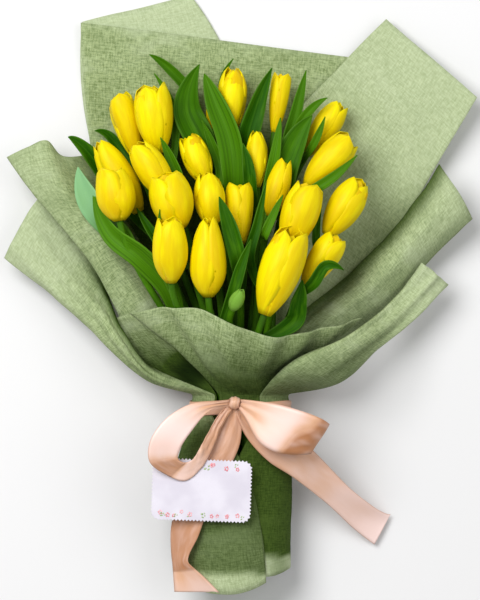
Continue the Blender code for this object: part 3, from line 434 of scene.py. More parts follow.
def leaf_width(t):
    """Share of the full width along a leaf, from its sheath (0) to its pointed tip (1)."""
    if t < LEAF_BELLY:
        return LEAF_SHEATH + (1 - LEAF_SHEATH) * math.sin(math.pi / 2 * t / LEAF_BELLY)
    return (1 - ((t - LEAF_BELLY) / (1 - LEAF_BELLY)) ** LEAF_TAPER[0]) ** LEAF_TAPER[1]


def arc(y, layer, start, end, count):
    """Points on one layer of the neck ellipse, between two angles in degrees."""
    half_x = NECK_INNER[0] + LAYER_STEP[0] * layer
    half_z = NECK_INNER[1] + LAYER_STEP[1] * layer
    return ellipse_arc(y, half_x, half_z, NECK_Z, start, end, count)


def ellipse_arc(y, half_x, half_z, middle_z, start, end, count):
    """Points on an upright ellipse at y, between two angles in degrees."""
    points = []
    for k in range(count):
        turn = math.radians(start + (end - start) * k / (count - 1))
        points.append(Vector((half_x * math.cos(turn), y, middle_z + half_z * math.sin(turn))))
    return points


def smooth_rows(net, rows, columns):
    """Reads a net of points as a smooth surface on a finer grid."""
    lines = [[spline(row, j / (columns - 1)) for j in range(columns)] for row in net]
    lines = list(zip(*lines))
    return [[spline(line, i / (rows - 1)) for line in lines] for i in range(rows)]


def gather(layer, start, end, count=5):
    """The rows of a sheet that lie under the ribbon."""
    return [arc(y, layer, start, end, count) for y in GATHER_STOPS]


def sleeve(shape, angles, slack=1.0, chop=0.0):
    """Rows of a sheet that runs on below the ribbon, round the stems, cut end first.

    Slack lets it stand off on its left side. Chop cuts its first corner off at a slant.
    """
    half_x, half_z, cut = shape
    rows = []
    for y, (start, end) in zip((cut,) + SLEEVE_STOPS, angles):
        rows.append(ellipse_arc(y, half_x, half_z, SLEEVE_Z, start, end, 5))
    for point in rows[0]:
        point.y += CUT_ROUNDING * abs(point.x / half_x) ** 6
    rows[0][0].y += chop
    for row in rows[1:]:
        for point in row:
            point.x *= slack if point.x < 0 else 1.0
    return rows


def forward(operation):
    """An operator with the field in front."""
    return lambda self, other: self.kit.math(operation, self, other)


def reflected(operation):
    """The same operator with the field behind, as in 1 - mask."""
    return lambda self, other: self.kit.math(operation, other, self)


class Field:
    """A socket whose value can be written in an expression: each operator adds a Math node."""
    __add__, __radd__ = forward("ADD"), reflected("ADD")
    __sub__, __rsub__ = forward("SUBTRACT"), reflected("SUBTRACT")
    __mul__, __rmul__ = forward("MULTIPLY"), reflected("MULTIPLY")
    __truediv__, __rtruediv__ = forward("DIVIDE"), reflected("DIVIDE")
    __pow__, __rpow__ = forward("POWER"), reflected("POWER")

    def __init__(self, kit, socket):
        self.kit = kit
        self.socket = socket

    def __neg__(self):
        return self * -1.0

    def __abs__(self):
        return self.kit.math("ABSOLUTE", self)


class Kit:
    """Adds nodes to one node tree, of a material or of geometry."""

    def __init__(self, tree):
        self.tree = tree

    def node(self, kind, settings=None, values=None):
        """A node of this type. Settings are set first, then its sockets' values or links."""
        made = self.tree.nodes.new(kind)
        for key, value in (settings or {}).items():
            setattr(made, key, value)
        for key, value in (values or {}).items():
            self.feed(made.inputs[key], value)
        return made

    def feed(self, socket, value):
        if isinstance(value, Field):
            value = value.socket
        if isinstance(value, bpy.types.NodeSocket):
            self.tree.links.new(value, socket)
        elif value is not None:
            socket.default_value = value

    def field(self, kind, settings=None, values=None, output=0):
        return Field(self, self.node(kind, settings, values).outputs[output])

    def math(self, operation, *values):
        return self.field("ShaderNodeMath", {"operation": operation}, dict(enumerate(values)))

    def vector(self, operation, *values):
        return self.field("ShaderNodeVectorMath", {"operation": operation}, dict(enumerate(values)))

    def scale(self, vector, factor):
        values = {"Vector": vector, "Scale": factor}
        return self.field("ShaderNodeVectorMath", {"operation": "SCALE"}, values)

    def clamp(self, value):
        """Keeps a value from 0 to 1."""
        return self.math("MINIMUM", self.math("MAXIMUM", value, 0.0), 1.0)

    def step(self, value, low, high):
        """0 below low, 1 above high, smooth between them."""
        settings = {"interpolation_type": "SMOOTHSTEP"}
        return self.field("ShaderNodeMapRange", settings, {0: value, 1: low, 2: high, 3: 0.0, 4: 1.0})

    def mix(self, factor, a, b, blend="MIX"):
        """Mixes two colours."""
        settings = {"data_type": "RGBA", "blend_type": blend}
        return self.field("ShaderNodeMix", settings, {0: factor, 6: a, 7: b}, output=2)

    def coats(self, tint, *coats):
        """Lays coats over a colour, one after another: each is how much shows, and its colour."""
        for cover, coat in coats:
            tint = self.mix(cover, tint, coat)
        return tint

    def noise(self, vector, scale, detail=2.0, rough=0.5):
        values = {"Vector": vector, "Scale": scale, "Detail": detail, "Roughness": rough}
        return self.field("ShaderNodeTexNoise", {"noise_dimensions": "3D"}, values)

    def grain(self, x, y, z, detail=2.0, rough=0.5):
        """Noise drawn out by the scale given to each direction."""
        return self.noise(self.join(x, y, z), 1.0, detail, rough)

    def parts(self, vector):
        split = self.node("ShaderNodeSeparateXYZ", None, {0: vector})
        return [Field(self, out) for out in split.outputs]

    def join(self, x, y, z):
        return self.field("ShaderNodeCombineXYZ", None, {0: x, 1: y, 2: z})

    def attribute(self, name, output="Fac"):
        return self.field("ShaderNodeAttribute", {"attribute_name": name}, output=output)

    def place(self):
        """A point's place in the frame, in metres."""
        return self.field("ShaderNodeTexCoord", output="Object")


def colour(red, green, blue):
    """A display colour (0 to 255) as linear light, for a shader's socket."""
    shares = [channel / 255 for channel in (red, green, blue)]
    light = [c / 12.92 if c <= 0.04045 else ((c + 0.055) / 1.055) ** 2.4 for c in shares]
    return (*light, 1.0)


def surface(name, roughness, **constants):
    """An empty material: returns it, its kit and its Principled shader."""
    made = bpy.data.materials.new(name)
    made.use_nodes = True
    shader = made.node_tree.nodes["Principled BSDF"]
    shader.inputs["Roughness"].default_value = roughness
    for key, value in constants.items():
        shader.inputs[key.replace("_", " ")].default_value = value
    return made, Kit(made.node_tree), shader


def dress(kit, shader, tint, rough, height, strength, distance):
    """Feeds a material's colour, its roughness where that varies, and its relief."""
    kit.feed(shader.inputs["Base Color"], tint)
    kit.feed(shader.inputs["Roughness"], rough)
    values = {"Height": height, "Strength": strength, "Distance": distance}
    kit.feed(shader.inputs["Normal"], kit.field("ShaderNodeBump", None, values))


def petal_material(colours):
    """Waxy tepals: fine lengthwise veins, painted shade deepening towards orange at the foot, on the inner
    petals and in the folds, green at the base.
    """
    made, kit, shader = surface("tulip_petal", 0.5, Specular_IOR_Level=0.12)
    over, along, _ = kit.parts(kit.attribute("petal", "Vector"))
    seed = kit.attribute("seed")
    inner = kit.attribute("inner")
    veins = kit.grain(over * 26.0, along * 1.6, seed * 9.0, 3.0)
    broad = kit.grain(over * 3.0, along * 2.2, seed * 5.0)
    # Painted shade: deeper yellow towards the foot and on the inner petals, plus a random share for each
    # petal.
    depth = kit.clamp((1.0 - along) * 0.32 + inner * 0.34 + seed * 0.34 - 0.08)
    tint = kit.coats(
        colours.petal,
        (kit.step(broad, 0.35, 0.68) * 0.80, colours.petal_light),
        (kit.step(veins, 0.35, 0.7) * 0.16, colours.petal_shade),
        (depth, colours.petal_shade),
        ((1.0 - kit.step(along, 0.0, 0.13)) * 0.45, colours.petal_base),
        (kit.step(abs(over), 0.80, 0.98) * 0.30, colours.petal_light))
    dress(kit, shader, tint, 0.40 + 0.14 * veins, veins * 0.5 + broad, 0.16, 0.0006)
    return made


def leaf_material(colours, budding=0.0):
    """Leaves: parallel veins, a paler midrib and edge, and a pale bloom where a leaf has one.

    Budding is how far the green turns to the fresh green of the bud.
    """
    made, kit, shader = surface("tulip_leaf", 0.42, Specular_IOR_Level=0.06)
    over, along, _ = kit.parts(kit.attribute("petal", "Vector"))
    seed = kit.attribute("seed")
    veins = kit.grain(over * 17.0, along * 0.9, seed * 11.0)
    broad = kit.grain(over * 1.6, along * 3.5, seed * 3.0)
    edge = kit.step(abs(over), 0.86, 1.0) * 0.40
    midrib = (1.0 - kit.step(abs(over), 0.0, 0.12)) * 0.12
    tint = kit.coats(
        colours.leaf,
        (kit.step(seed, 0.15, 0.9), colours.leaf_light),
        (kit.step(broad, 0.45, 0.75) * 0.55, colours.leaf_light),
        (kit.step(veins, 0.42, 0.70) * 0.45, colours.leaf_dark),
        (kit.clamp(edge + midrib), colours.leaf_edge),
        ((1.0 - kit.step(along, 0.0, 0.30)) * 0.55, colours.stem),
        (kit.attribute("bloom") * kit.step(along, 0.25, 0.6), colours.leaf_bloom),
        (budding, colours.bud))
    dress(kit, shader, tint, 0.36 + 0.18 * broad, veins, 0.30, 0.0005)
    return made


def stem_material(colours):
    """Stems: pale fresh green with fine streaks along them, paler where cut."""
    made, kit, shader = surface("tulip_stem", 0.45, Specular_IOR_Level=0.08)
    x, y, z = kit.parts(kit.place())
    streaks = kit.grain(x * 900.0, y * 22.0, z * 900.0)
    patches = kit.grain(x * 40.0, y * 14.0, z * 40.0)
    tint = kit.coats(
        colours.stem,
        (kit.step(patches, 0.35, 0.7), colours.leaf_light),
        (kit.step(streaks, 0.4, 0.7) * 0.35, colours.leaf),
        (1.0 - kit.step(y, STEM_END_Y, STEM_END_Y + 0.004), colours.leaf_edge))
    dress(kit, shader, tint, 0.40 + 0.15 * streaks, streaks, 0.15, 0.0003)
    return made


def woven_material(name, colours, pitch, slub):
    """Linen-look plain weave: two sets of uneven threads, over and under, and fuzzy slubs.

    The cloth's own attributes hold its places in metres (weave), how much painted light shows through it
    where it is single and thin (pale), and how much painted shade darkens it in its gathers, hollows and on
    the handle (deep, up to 2).
    """
    made, kit, shader = surface(name, 0.95, Specular_IOR_Level=0.12)
    u, v, _ = kit.parts(kit.attribute("weave", "Vector"))
    pale = kit.attribute("pale")
    deep = kit.attribute("deep")
    wander = kit.grain(u * 60.0, v * 60.0, 0.0, 1.0) * pitch * 0.9
    warp = kit.math("SINE", (u + wander) * (math.tau / pitch))
    weft = kit.math("SINE", (v + wander) * (math.tau / pitch))
    over = kit.step(warp * weft, -0.25, 0.25)
    warp_slub = kit.grain(u / pitch * 0.9, v / slub, 3.0, rough=0.65)
    weft_slub = kit.grain(u / slub, v / pitch * 0.9, 7.0, rough=0.65)
    threads = warp_slub * over + weft_slub * (1.0 - over)
    crown = abs(warp) * over + abs(weft) * (1.0 - over)
    cloud = kit.grain(u * 16.0, v * 34.0, 1.0, 4.0, 0.6)
    # Painted light: where the cloth is single it is painted paler, as if lit through; pale sets how much.
    single = kit.mix(0.45 + 0.55 * kit.step(threads, 0.25, 0.75), colours.wrap, colours.wrap_pale)
    tint = kit.coats(
        colours.wrap_dark,
        (kit.step(threads, 0.30, 0.70), colours.wrap_light),
        (kit.step(cloud, 0.48, 0.72) * 0.45, colours.wrap_pale),
        ((1.0 - kit.step(cloud, 0.30, 0.50)) * 0.35, colours.wrap_dark),
        ((1.0 - kit.step(crown, 0.05, 0.55)) * 0.42, colours.wrap_gap),
        (pale, single))
    # Painted shade: deep darkens the cloth in its gathers, hollows, on the handle and among the stems, twice
    # over above 1.
    for depth in (deep, deep - 1.0):
        tint = kit.mix(kit.clamp(depth), tint, colours.wrap_deep, "MULTIPLY")
    dress(kit, shader, tint, None, threads * 0.7 + crown * 0.5, 0.55, 0.0007)
    return made


def satin_material(colours):
    """Satin ribbon: smooth and bright along the curl, with very fine threads and woven edges.

    Its attribute deep is above 0 in shade, where it is also crumpled, and below 0 where it is lit.
    """
    made, kit, shader = surface("satin_ribbon", 0.34, Sheen_Weight=0.12, Sheen_Roughness=0.35,
                                Specular_IOR_Level=0.6)
    u, v, _ = kit.parts(kit.attribute("weave", "Vector"))
    deep = kit.attribute("deep")
    fine = kit.grain(u * 5200.0, v * 60.0, 0.0)
    cloud = kit.grain(u * 70.0, v * 26.0, 2.0)
    dents = kit.grain(u * 150.0, v * 55.0, 5.0, 1.0)
    crushed = kit.clamp(deep * 1.6 - 0.5)
    tint = kit.coats(
        colours.ribbon,
        (kit.step(cloud, 0.3, 0.7) * 0.5, colours.ribbon_light),
        (fine * 0.22, colours.ribbon_deep),
        (kit.clamp(deep), colours.ribbon_deep),
        (kit.clamp(-deep), colours.ribbon_light),
        (kit.step(abs(u), *SELVEDGE) * 0.35, colours.ribbon_deep),
        # Painted highlights on the dents where the ribbon is crumpled in shade.
        (kit.step(dents, 0.40, 0.80) * crushed * 0.30, colours.ribbon_light))
    height = fine * 0.3 + cloud * 0.5 + dents * crushed * 4.0
    dress(kit, shader, tint, 0.30 + 0.16 * fine, height, 0.5, 0.0007)
    return made


def card_material(colours):
    """Uncoated card: a very slight tooth and mottle."""
    made, kit, shader = surface("card_stock", 0.75)
    tooth = kit.noise(kit.place(), 1400.0, 3.0)
    cloud = kit.noise(kit.place(), 45.0)
    tint = kit.coats(
        colours.card,
        (kit.step(cloud, 0.3, 0.7) * 0.5, colours.card_shade),
        (kit.step(tooth, 0.55, 0.8) * 0.25, colours.card_shade))
    dress(kit, shader, tint, None, tooth, 0.25, 0.0002)
    return made


def twine_material(colours):
    """Binding twine: light and dark fibres laid along the strand."""
    made, kit, shader = surface("binding_twine", 0.88, Sheen_Weight=0.3)
    fibres = kit.noise(kit.place(), 1500.0, 4.0, 0.7)
    tint = kit.mix(kit.step(fibres, 0.3, 0.7), colours.twine_dark, colours.twine)
    dress(kit, shader, tint, None, fibres, 0.5, 0.0004)
    return made


def ink_material(name, light, dark):
    """A printed colour that varies a little, as in a small watercolour blossom."""
    made, kit, shader = surface(name, 0.7)
    wash = kit.noise(kit.place(), 420.0)
    kit.feed(shader.inputs["Base Color"], kit.mix(kit.step(wash, 0.35, 0.65), light, dark))
    return made


# ---- meshes -------------------------------------------------------------------------------


def new_object(name, mesh):
    """An object of this mesh, in the scene."""
    made = bpy.data.objects.new(name, mesh)
    bpy.context.scene.collection.objects.link(made)
    return made


def set_attribute(mesh, name, values):
    """Stores a number or a vector for every point."""
    if isinstance(values[0], float):
        mesh.attributes.new(name, "FLOAT", "POINT").data.foreach_set("value", values)
        return
    flat = [c for value in values for c in value]
    mesh.attributes.new(name, "FLOAT_VECTOR", "POINT").data.foreach_set("vector", flat)


def point_mesh(name, points, edges=(), faces=(), **attributes):
    """A mesh of these points, with a list of values for each attribute, one for every point."""
    mesh = bpy.data.meshes.new(name)
    mesh.from_pydata([tuple(p) for p in points], edges, faces)
    for key, values in attributes.items():
        set_attribute(mesh, key, values)
    return mesh


def grid_faces(rows, columns, first):
    """The faces of a grid of points, row by row, whose first point has this number."""
    faces = []
    for i in range(rows - 1):
        for j in range(columns - 1):
            a = first + i * columns + j
            faces.append((a, a + 1, a + columns + 1, a + columns))
    return faces


def sheet_mesh(name, grids, **attributes):
    """One mesh of open grids of points."""
    points = []
    faces = []
    for rows in grids:
        faces += grid_faces(len(rows), len(rows[0]), len(points))
        points += [p for row in rows for p in row]
    return point_mesh(name, points, (), faces, **attributes)


WELD = 1e-6   # points closer than this, in metres, are one


def settle(made, look, slot, nodes, crease=None):
    """Turns what the modifiers make into a plain mesh and ties the piece to the frame."""
    depsgraph = bpy.context.evaluated_depsgraph_get()
    plain = bpy.data.meshes.new_from_object(made.evaluated_get(depsgraph), depsgraph=depsgraph)
    made.modifiers.clear()
    made.data = plain
    plain.name = made.name
    work = bmesh.new()
    work.from_mesh(plain)
    bmesh.ops.remove_doubles(work, verts=work.verts, dist=WELD)
    bmesh.ops.recalc_face_normals(work, faces=work.faces)
    work.to_mesh(plain)
    work.free()
    plain.materials.clear()
    plain.materials.append(look)
    plain.shade_smooth()
    if crease is not None:
        plain.set_sharp_from_angle(angle=math.radians(crease))
    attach(made, BODY)
    if nodes:
        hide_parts(*nodes)


def thicken(made, thickness):
    """Gives a sheet its thickness, half on either side."""
    solid = made.modifiers.new("thickness", "SOLIDIFY")
    solid.thickness = thickness
    solid.offset = 0.0
    return made


def geometry_tree(name, sizes):
    """An empty Geometry Nodes tree with named number inputs. Returns it, its kit and its inputs."""
    tree = bpy.data.node_groups.new(name, "GeometryNodeTree")
    tree.is_modifier = True
    tree.interface.new_socket("Geometry", in_out="INPUT", socket_type="NodeSocketGeometry")
    for key, value in sizes.items():
        kind = "Int" if isinstance(value, int) else "Float"
        socket = tree.interface.new_socket(key, in_out="INPUT", socket_type="NodeSocket" + kind)
        socket.default_value = value
    tree.interface.new_socket("Material", in_out="INPUT", socket_type="NodeSocketMaterial")
    tree.interface.new_socket("Geometry", in_out="OUTPUT", socket_type="NodeSocketGeometry")
    kit = Kit(tree)
    group = kit.node("NodeGroupInput")
    fields = {socket.name: Field(kit, socket) for socket in group.outputs if socket.name}
    return tree, kit, fields


def close_tree(kit, geometry, fields):
    """Ends a tree: instances made real, and the material set."""
    real = kit.field("GeometryNodeRealizeInstances", None, {0: geometry})
    done = kit.field("GeometryNodeSetMaterial", None, {"Geometry": real, "Material": fields["Material"]})
    kit.node("NodeGroupOutput", None, {0: done})


def run_tree(made, tree, values):
    """Adds the tree as a modifier, with its inputs set by their identifiers."""
    modifier = made.modifiers.new(tree.name, "NODES")
    modifier.node_group = tree
    for item in tree.interface.items_tree:
        if item.in_out == "INPUT" and item.name in values:
            modifier[item.identifier] = values[item.name]


def named(kit, kind, *names):
    """The points' attributes of these names, all of one kind."""
    settings = {"data_type": kind}
    return [kit.field("GeometryNodeInputNamedAttribute", settings, {"Name": name}) for name in names]


# ---- petals -------------------------------------------------------------------------------

PETALS_PER_HEAD = 6
PETAL_FOOT = 0.62        # a petal's width at its foot, as a share of its greatest
PETAL_SHOULDER = 0.42    # where along it it is at its widest
PETAL_ROUNDING = 0.48    # where along it its tip starts to round off
INNER_SINK = 0.085       # how much closer the three inner petals lie, as a share of the radius
EDGE_HUG = (0.075, 0.04)  # how much closer a petal's edges lie, and how much less on an inner one
TIP_LEAN = 0.28          # from the tip that leans furthest in to furthest out, as a share of the radius
INNER_TUCK = 0.48        # how far the inner tips are tucked in, to close the head


def tepal_tree(sizes):
    """Puts a cupped, pointed tepal on every point, shaped by the point's own attributes."""
    tree, kit, fields = geometry_tree("tulip_tepals", {
        "Columns": sizes.petal_columns, "Rows": sizes.petal_rows, "Half Angle": sizes.petal_half_angle,
        "Crease": sizes.petal_crease, "Ruffle": sizes.petal_ruffle,
    })
    grid = kit.field("GeometryNodeMeshGrid", None, {
        "Size X": 2.0, "Size Y": 1.0, "Vertices X": fields["Columns"], "Vertices Y": fields["Rows"]})
    x, y, _ = kit.parts(kit.field("GeometryNodeInputPosition"))
    cell = kit.field("GeometryNodeStoreNamedAttribute", {"data_type": "FLOAT_VECTOR", "domain": "POINT"},
                     {0: grid, "Name": "petal", "Value": kit.join(x, y + 0.5, 0.0)})
    spread = kit.field("GeometryNodeInstanceOnPoints", None, {"Points": fields["Geometry"], "Instance": cell})
    real = kit.field("GeometryNodeRealizeInstances", None, {0: spread})
    # v runs from edge to edge (-1 to 1), u from foot to tip (0 to 1).
    petal, side, rise, axis, base = named(kit, "FLOAT_VECTOR", "petal", "side", "rise", "axis", "base")
    seed, inner, radius, length, widest, rim, phase = named(
        kit, "FLOAT", "seed", "inner", "radius", "length", "widest", "rim", "phase")
    v, u, _ = kit.parts(petal)
    # The outline: narrow at the foot, full at the shoulder, round at the tip.
    shoulder = kit.math("SINE", kit.clamp(u / PETAL_SHOULDER) * (math.pi / 2))
    upper = kit.clamp((u - PETAL_ROUNDING) / (1.0 - PETAL_ROUNDING))
    wide = (PETAL_FOOT + (1.0 - PETAL_FOOT) * shoulder) * (1.0 - upper ** 6.0) ** 0.6
    wide = wide * (0.94 + 0.12 * seed)
    turn = phase + v * wide * fields["Half Angle"]
    # The distance from the head's axis, as shares of its greatest radius.
    belly = 1.0 - (1.0 - HEAD_FOOT) * (1.0 - kit.clamp(u / widest)) ** 2.2
    closing = 1.0 - (1.0 - rim) * kit.clamp((u - widest) / (1.0 - widest)) ** 2.0
    hug = 1.0 - (EDGE_HUG[0] - EDGE_HUG[1] * inner) * v ** 2.0 - INNER_SINK * inner
    groove = fields["Crease"] * (1.0 - kit.step(abs(v), 0.0, 0.22)) * kit.clamp(u * 3.0)
    wave = fields["Ruffle"] * kit.math("SINE", u * 13.0 + seed * 40.0) * abs(v) ** 3.0
    point = kit.step(u, 0.70, 1.0) * (seed - 0.70) * TIP_LEAN
    tuck = 1.0 - INNER_TUCK * inner * kit.step(u, 0.84, 1.0)
    r = radius * belly * closing * tuck * (hug - groove + wave + point)
    height = length * u * (0.93 + 0.085 * seed - 0.02 * inner)
    place = kit.scale(side, r * kit.math("COSINE", turn))
    for step in (kit.scale(rise, r * kit.math("SINE", turn)), kit.scale(axis, height), base):
        place = kit.vector("ADD", place, step)
    shaped = kit.field("GeometryNodeSetPosition", None, {"Geometry": real, "Position": place})
    close_tree(kit, shaped, fields)
    return tree


def head_seed(plant, k):
    """A fixed number from 0 to 1, scattered as if by chance, for the k-th tepal of a head."""
    number = 0 if plant is BUD else int(plant.name)
    return (math.sin(number * 12.9898 + k * 78.233) * 43758.5453) % 1.0


def tepal_points(plants):
    """One point for each tepal, with what its shape follows."""
    points = []
    for plant in plants:
        base, axis = head_line(plant)
        side, rise = across(axis)
        widest, rim = HEAD_SHAPE[plant.name]
        first = HEAD_TURN.get(plant.name, head_seed(plant, 40)) * math.tau / 3
        for k in range(PETALS_PER_HEAD):
            uneven = (head_seed(plant, k + 20) - 0.5) * 0.22
            points.append({
                "base": base, "axis": axis, "side": side, "rise": rise,
                "length": (Vector(plant.tip) - base).length, "radius": plant.radius * PETAL_SWELL,
                "phase": first + math.tau * k / PETALS_PER_HEAD + uneven, "inner": float(k % 2),
                "widest": widest, "rim": rim, "seed": head_seed(plant, k)})
    attributes = {key: [point[key] for point in points] for key in points[0]}
    return point_mesh("tepal_points", attributes["base"], **attributes)


# ---- stems and leaves ---------------------------------------------------------------------


def stem_line(plant, steps=16, foot_steps=6):
    """The stem's centre line: straight from its cut end to the neck, then out into its head."""
    foot = NECK_Y - STEM_END_Y
    line = [slot_point(plant, STEM_END_Y + foot * k / foot_steps) for k in range(foot_steps)]
    line += [stem_point(plant, k / steps) for k in range(steps + 1)]
    base, axis = head_line(plant)
    return line + [base + axis * STEM_INTO_HEAD]


def stem_tree(sizes):
    """Sweeps a round section along each line, as thick as each of its points says."""
    tree, kit, fields = geometry_tree("stems", {"Sides": sizes.stem_sides, "Fullness": 1.0})
    curve = kit.field("GeometryNodeMeshToCurve", None, {0: fields["Geometry"]})
    ring = kit.field("GeometryNodeCurvePrimitiveCircle", None, {"Resolution": fields["Sides"], "Radius": 1.0})
    thick, = named(kit, "FLOAT", "thick")
    tube = kit.field("GeometryNodeCurveToMesh", None, {
        "Curve": curve, "Profile Curve": ring, "Scale": thick * fields["Fullness"], "Fill Caps": True})
    close_tree(kit, tube, fields)
    return tree


def line_mesh(name, lines):
    """Lines of points, each with a thickness, as edges."""
    points, edges, thick = [], [], []
    for line in lines:
        first = len(points)
        points += [p for p, _ in line]
        thick += [t for _, t in line]
        edges += [(first + k, first + k + 1) for k in range(len(line) - 1)]
    return point_mesh(name, points, edges, thick=thick)


def leaf_grid(plant, one, rows=30, columns=9):
    """A finely shaped blade: folded along its middle, waved at its edges and twisted a little."""
    route = [stem_point(plant, one.at)] + vectors(one.path)
    seed = (math.sin(one.path[0][0] * 910 + one.path[-1][1] * 577) * 43758.5) % 1.0
    grid, places = [], []
    for k in range(rows):
        t = k / (rows - 1)
        middle = spline(route, t)
        direction = (spline(route, min(t + 0.02, 1)) - spline(route, max(t - 0.02, 0))).normalized()
        side, up = across(direction)
        twist = (seed - 0.5) * LEAF_TWIST * t
        c, s = math.cos(twist), math.sin(twist)
        side, up = side * c + up * s, up * c - side * s
        half = max(one.width * 0.5 * LEAF_SWELL * leaf_width(t), LEAF_TIP)
        row = []
        for j in range(columns):
            v = 2 * j / (columns - 1) - 1
            ripple = math.sin(t * 11 + seed * 20 + v) * abs(v) ** 3 * math.sin(math.pi * t)
            lift = half * (LEAF_CUP * abs(v) ** 1.4 - LEAF_KEEL + LEAF_RIPPLE * ripple)
            row.append(middle + side * half * v + up * lift)
            places.append((v, t, 0.0))
        grid.append(row)
    return grid, places, [seed] * (rows * columns)


# ---- cloth --------------------------------------------------------------------------------


def normals_of(grid):
    """Which way the sheet faces at each point of its grid."""
    count, width = len(grid), len(grid[0])
    found = []
    for i in range(count):
        row = []
        for j in range(width):
            along = grid[min(i + 1, count - 1)][j] - grid[max(i - 1, 0)][j]
            over = grid[i][min(j + 1, width - 1)] - grid[i][max(j - 1, 0)]
            row.append(over.cross(along).normalized())
        found.append(row)
    return found


def cloth_places(grid, width=None):
    """Each point's place across the cloth, from its middle line, and along it, in metres.

    Where a width is given, the points of a row are spread evenly over it, gathered or not.
    """
    middle = len(grid[0]) // 2
    places, along = [], 0.0
    for i, row in enumerate(grid):
        if i:
            along += (row[middle] - grid[i - 1][middle]).length
        steps = [0.0]
        for a, b in zip(row, row[1:]):
            steps.append(steps[-1] + (width / (len(row) - 1) if width else (b - a).length))
        places += [(s - steps[middle], along, 0.0) for s in steps]
    return places


def fade(value, low, high):
    """0 below low, 1 above high, smooth between them."""
    t = min(max((value - low) / (high - low), 0.0), 1.0)
    return t * t * (3 - 2 * t)


def between(value, start, full, wane, end):
    """Rises from 0 to 1 from start to full, and falls to 0 again from wane to end."""
    return fade(value, start, full) * (1 - fade(value, wane, end))


def near(value, place, reach):
    """1 at the place, 0 beyond reach of it."""
    return 1 - fade(abs(value - place), 0.0, reach)


Cloth = namedtuple("Cloth", "name start net cut rows columns lowest pleats depth wave pale deep")


def cloth_grid(spec, seed):
    """The sheet's smooth shape with its gathers and soft creases worked into it."""
    net = spec.start + [vectors(row) for row in spec.net]
    grid = smooth_rows(net, spec.rows, spec.columns)
    ups = normals_of(grid)
    shaped = []
    for i, row in enumerate(grid):
        line = []
        for j, p in enumerate(row):
            u = j / (spec.columns - 1)
            out = p.y - NECK_Y
            swell = between(out, *GATHERS_ABOVE) + BELOW_SHARE * between(-out, *GATHERS_BELOW)
            wobble = noise.noise(Vector((u * 3.0, p.y * 14.0, seed)))
            pleat = math.sin(math.tau * (spec.pleats * u + 0.35 * wobble) + seed)
            # Soft creases and a finer crumple run where the cloth is free of the tie.
            crease = noise.noise(Vector((p.x * 26, p.y * 15, seed + 4.0)))
            crumple = noise.noise(Vector((p.x * 90, p.y * 60, seed + 9.0)))
            free = fade(abs(out), 0.015, 0.060)
            lift = spec.depth * swell * pleat + spec.wave * free * (crease + 0.30 * crumple)
            q = p + ups[i][j] * lift
            q.z = max(q.z, spec.lowest)
            line.append(q)
        shaped.append(line)
    return shaped


def cloth_tones(grid, spec):
    """How much painted light shows through the single cloth (pale) and painted shade where it is gathered or
    hidden (deep), at each point.
    """
    pale, deep = [], []
    last_row, last = len(grid) - 1, spec.columns - 1
    for i, row in enumerate(grid):
        for j, p in enumerate(row):
            u = j / last
            steps_in = min(min(u, 1 - u) * last, (1 - i / last_row) * last_row)
            hem = HEM_LIT_THROUGH * max(1 - steps_in / HEM_STEPS, 0.0)
            pale.append(min(max(spec.pale(p.x, p.y, u), hem), 1.0))
            deep.append(min(max(spec.deep(p.x, p.y, u), 0.0), 2.0))
    return pale, deep


def neck_painted_shade(y):
    """Painted shade in the gathers just outside the ribbon."""
    return 0.62 * (1 - fade(abs(y - NECK_Y), 0.008, 0.055))


def handle_painted_shade(y, most, hem):
    """Painted shade below the ribbon, where the cloth is close round the stems, down to its hem."""
    return most * fade(NECK_Y - y, 0.0, 0.03) * (1 - fade(hem - y, 0.0, 0.004))


def hem_pale(y, most, hem):
    """Past its hem the cloth is single, and the light comes through it."""
    return most * fade(hem - y, 0.0, 0.003)


def among_stems(x, y):
    """The back of the wrap is in deep shade where the stems and leaves are packed in front of it."""
    return (1 - fade(y, 0.09, 0.17)) * (1 - fade(abs(x + 0.01), 0.06, 0.12))


def left_outer_painted_shade(x, y, u):
    """Painted shade on the handle, a little less towards its hem, and beside the pleat next to it."""
    handle = handle_painted_shade(y, 0.92, LEFT_HEM) * (1 - 0.18 * fade(-y, 0.17, 0.23))
    beside = near(u, 0.0, 0.40) * between(y, -0.08, -0.05, -0.01, 0.05)
    return max(0.7 * neck_painted_shade(y), handle, 1.5 * beside)


def left_pleat_painted_shade(x, y, u):
    """Painted shade all along its sunk lower part, and twice as deep in the hollow beside the collar."""
    hollow = 1.0 - fade(math.hypot(x + 0.042, y + 0.066), 0.006, 0.026)
    return max(neck_painted_shade(y), 1 - fade(y, -0.070, -0.015)) + hollow


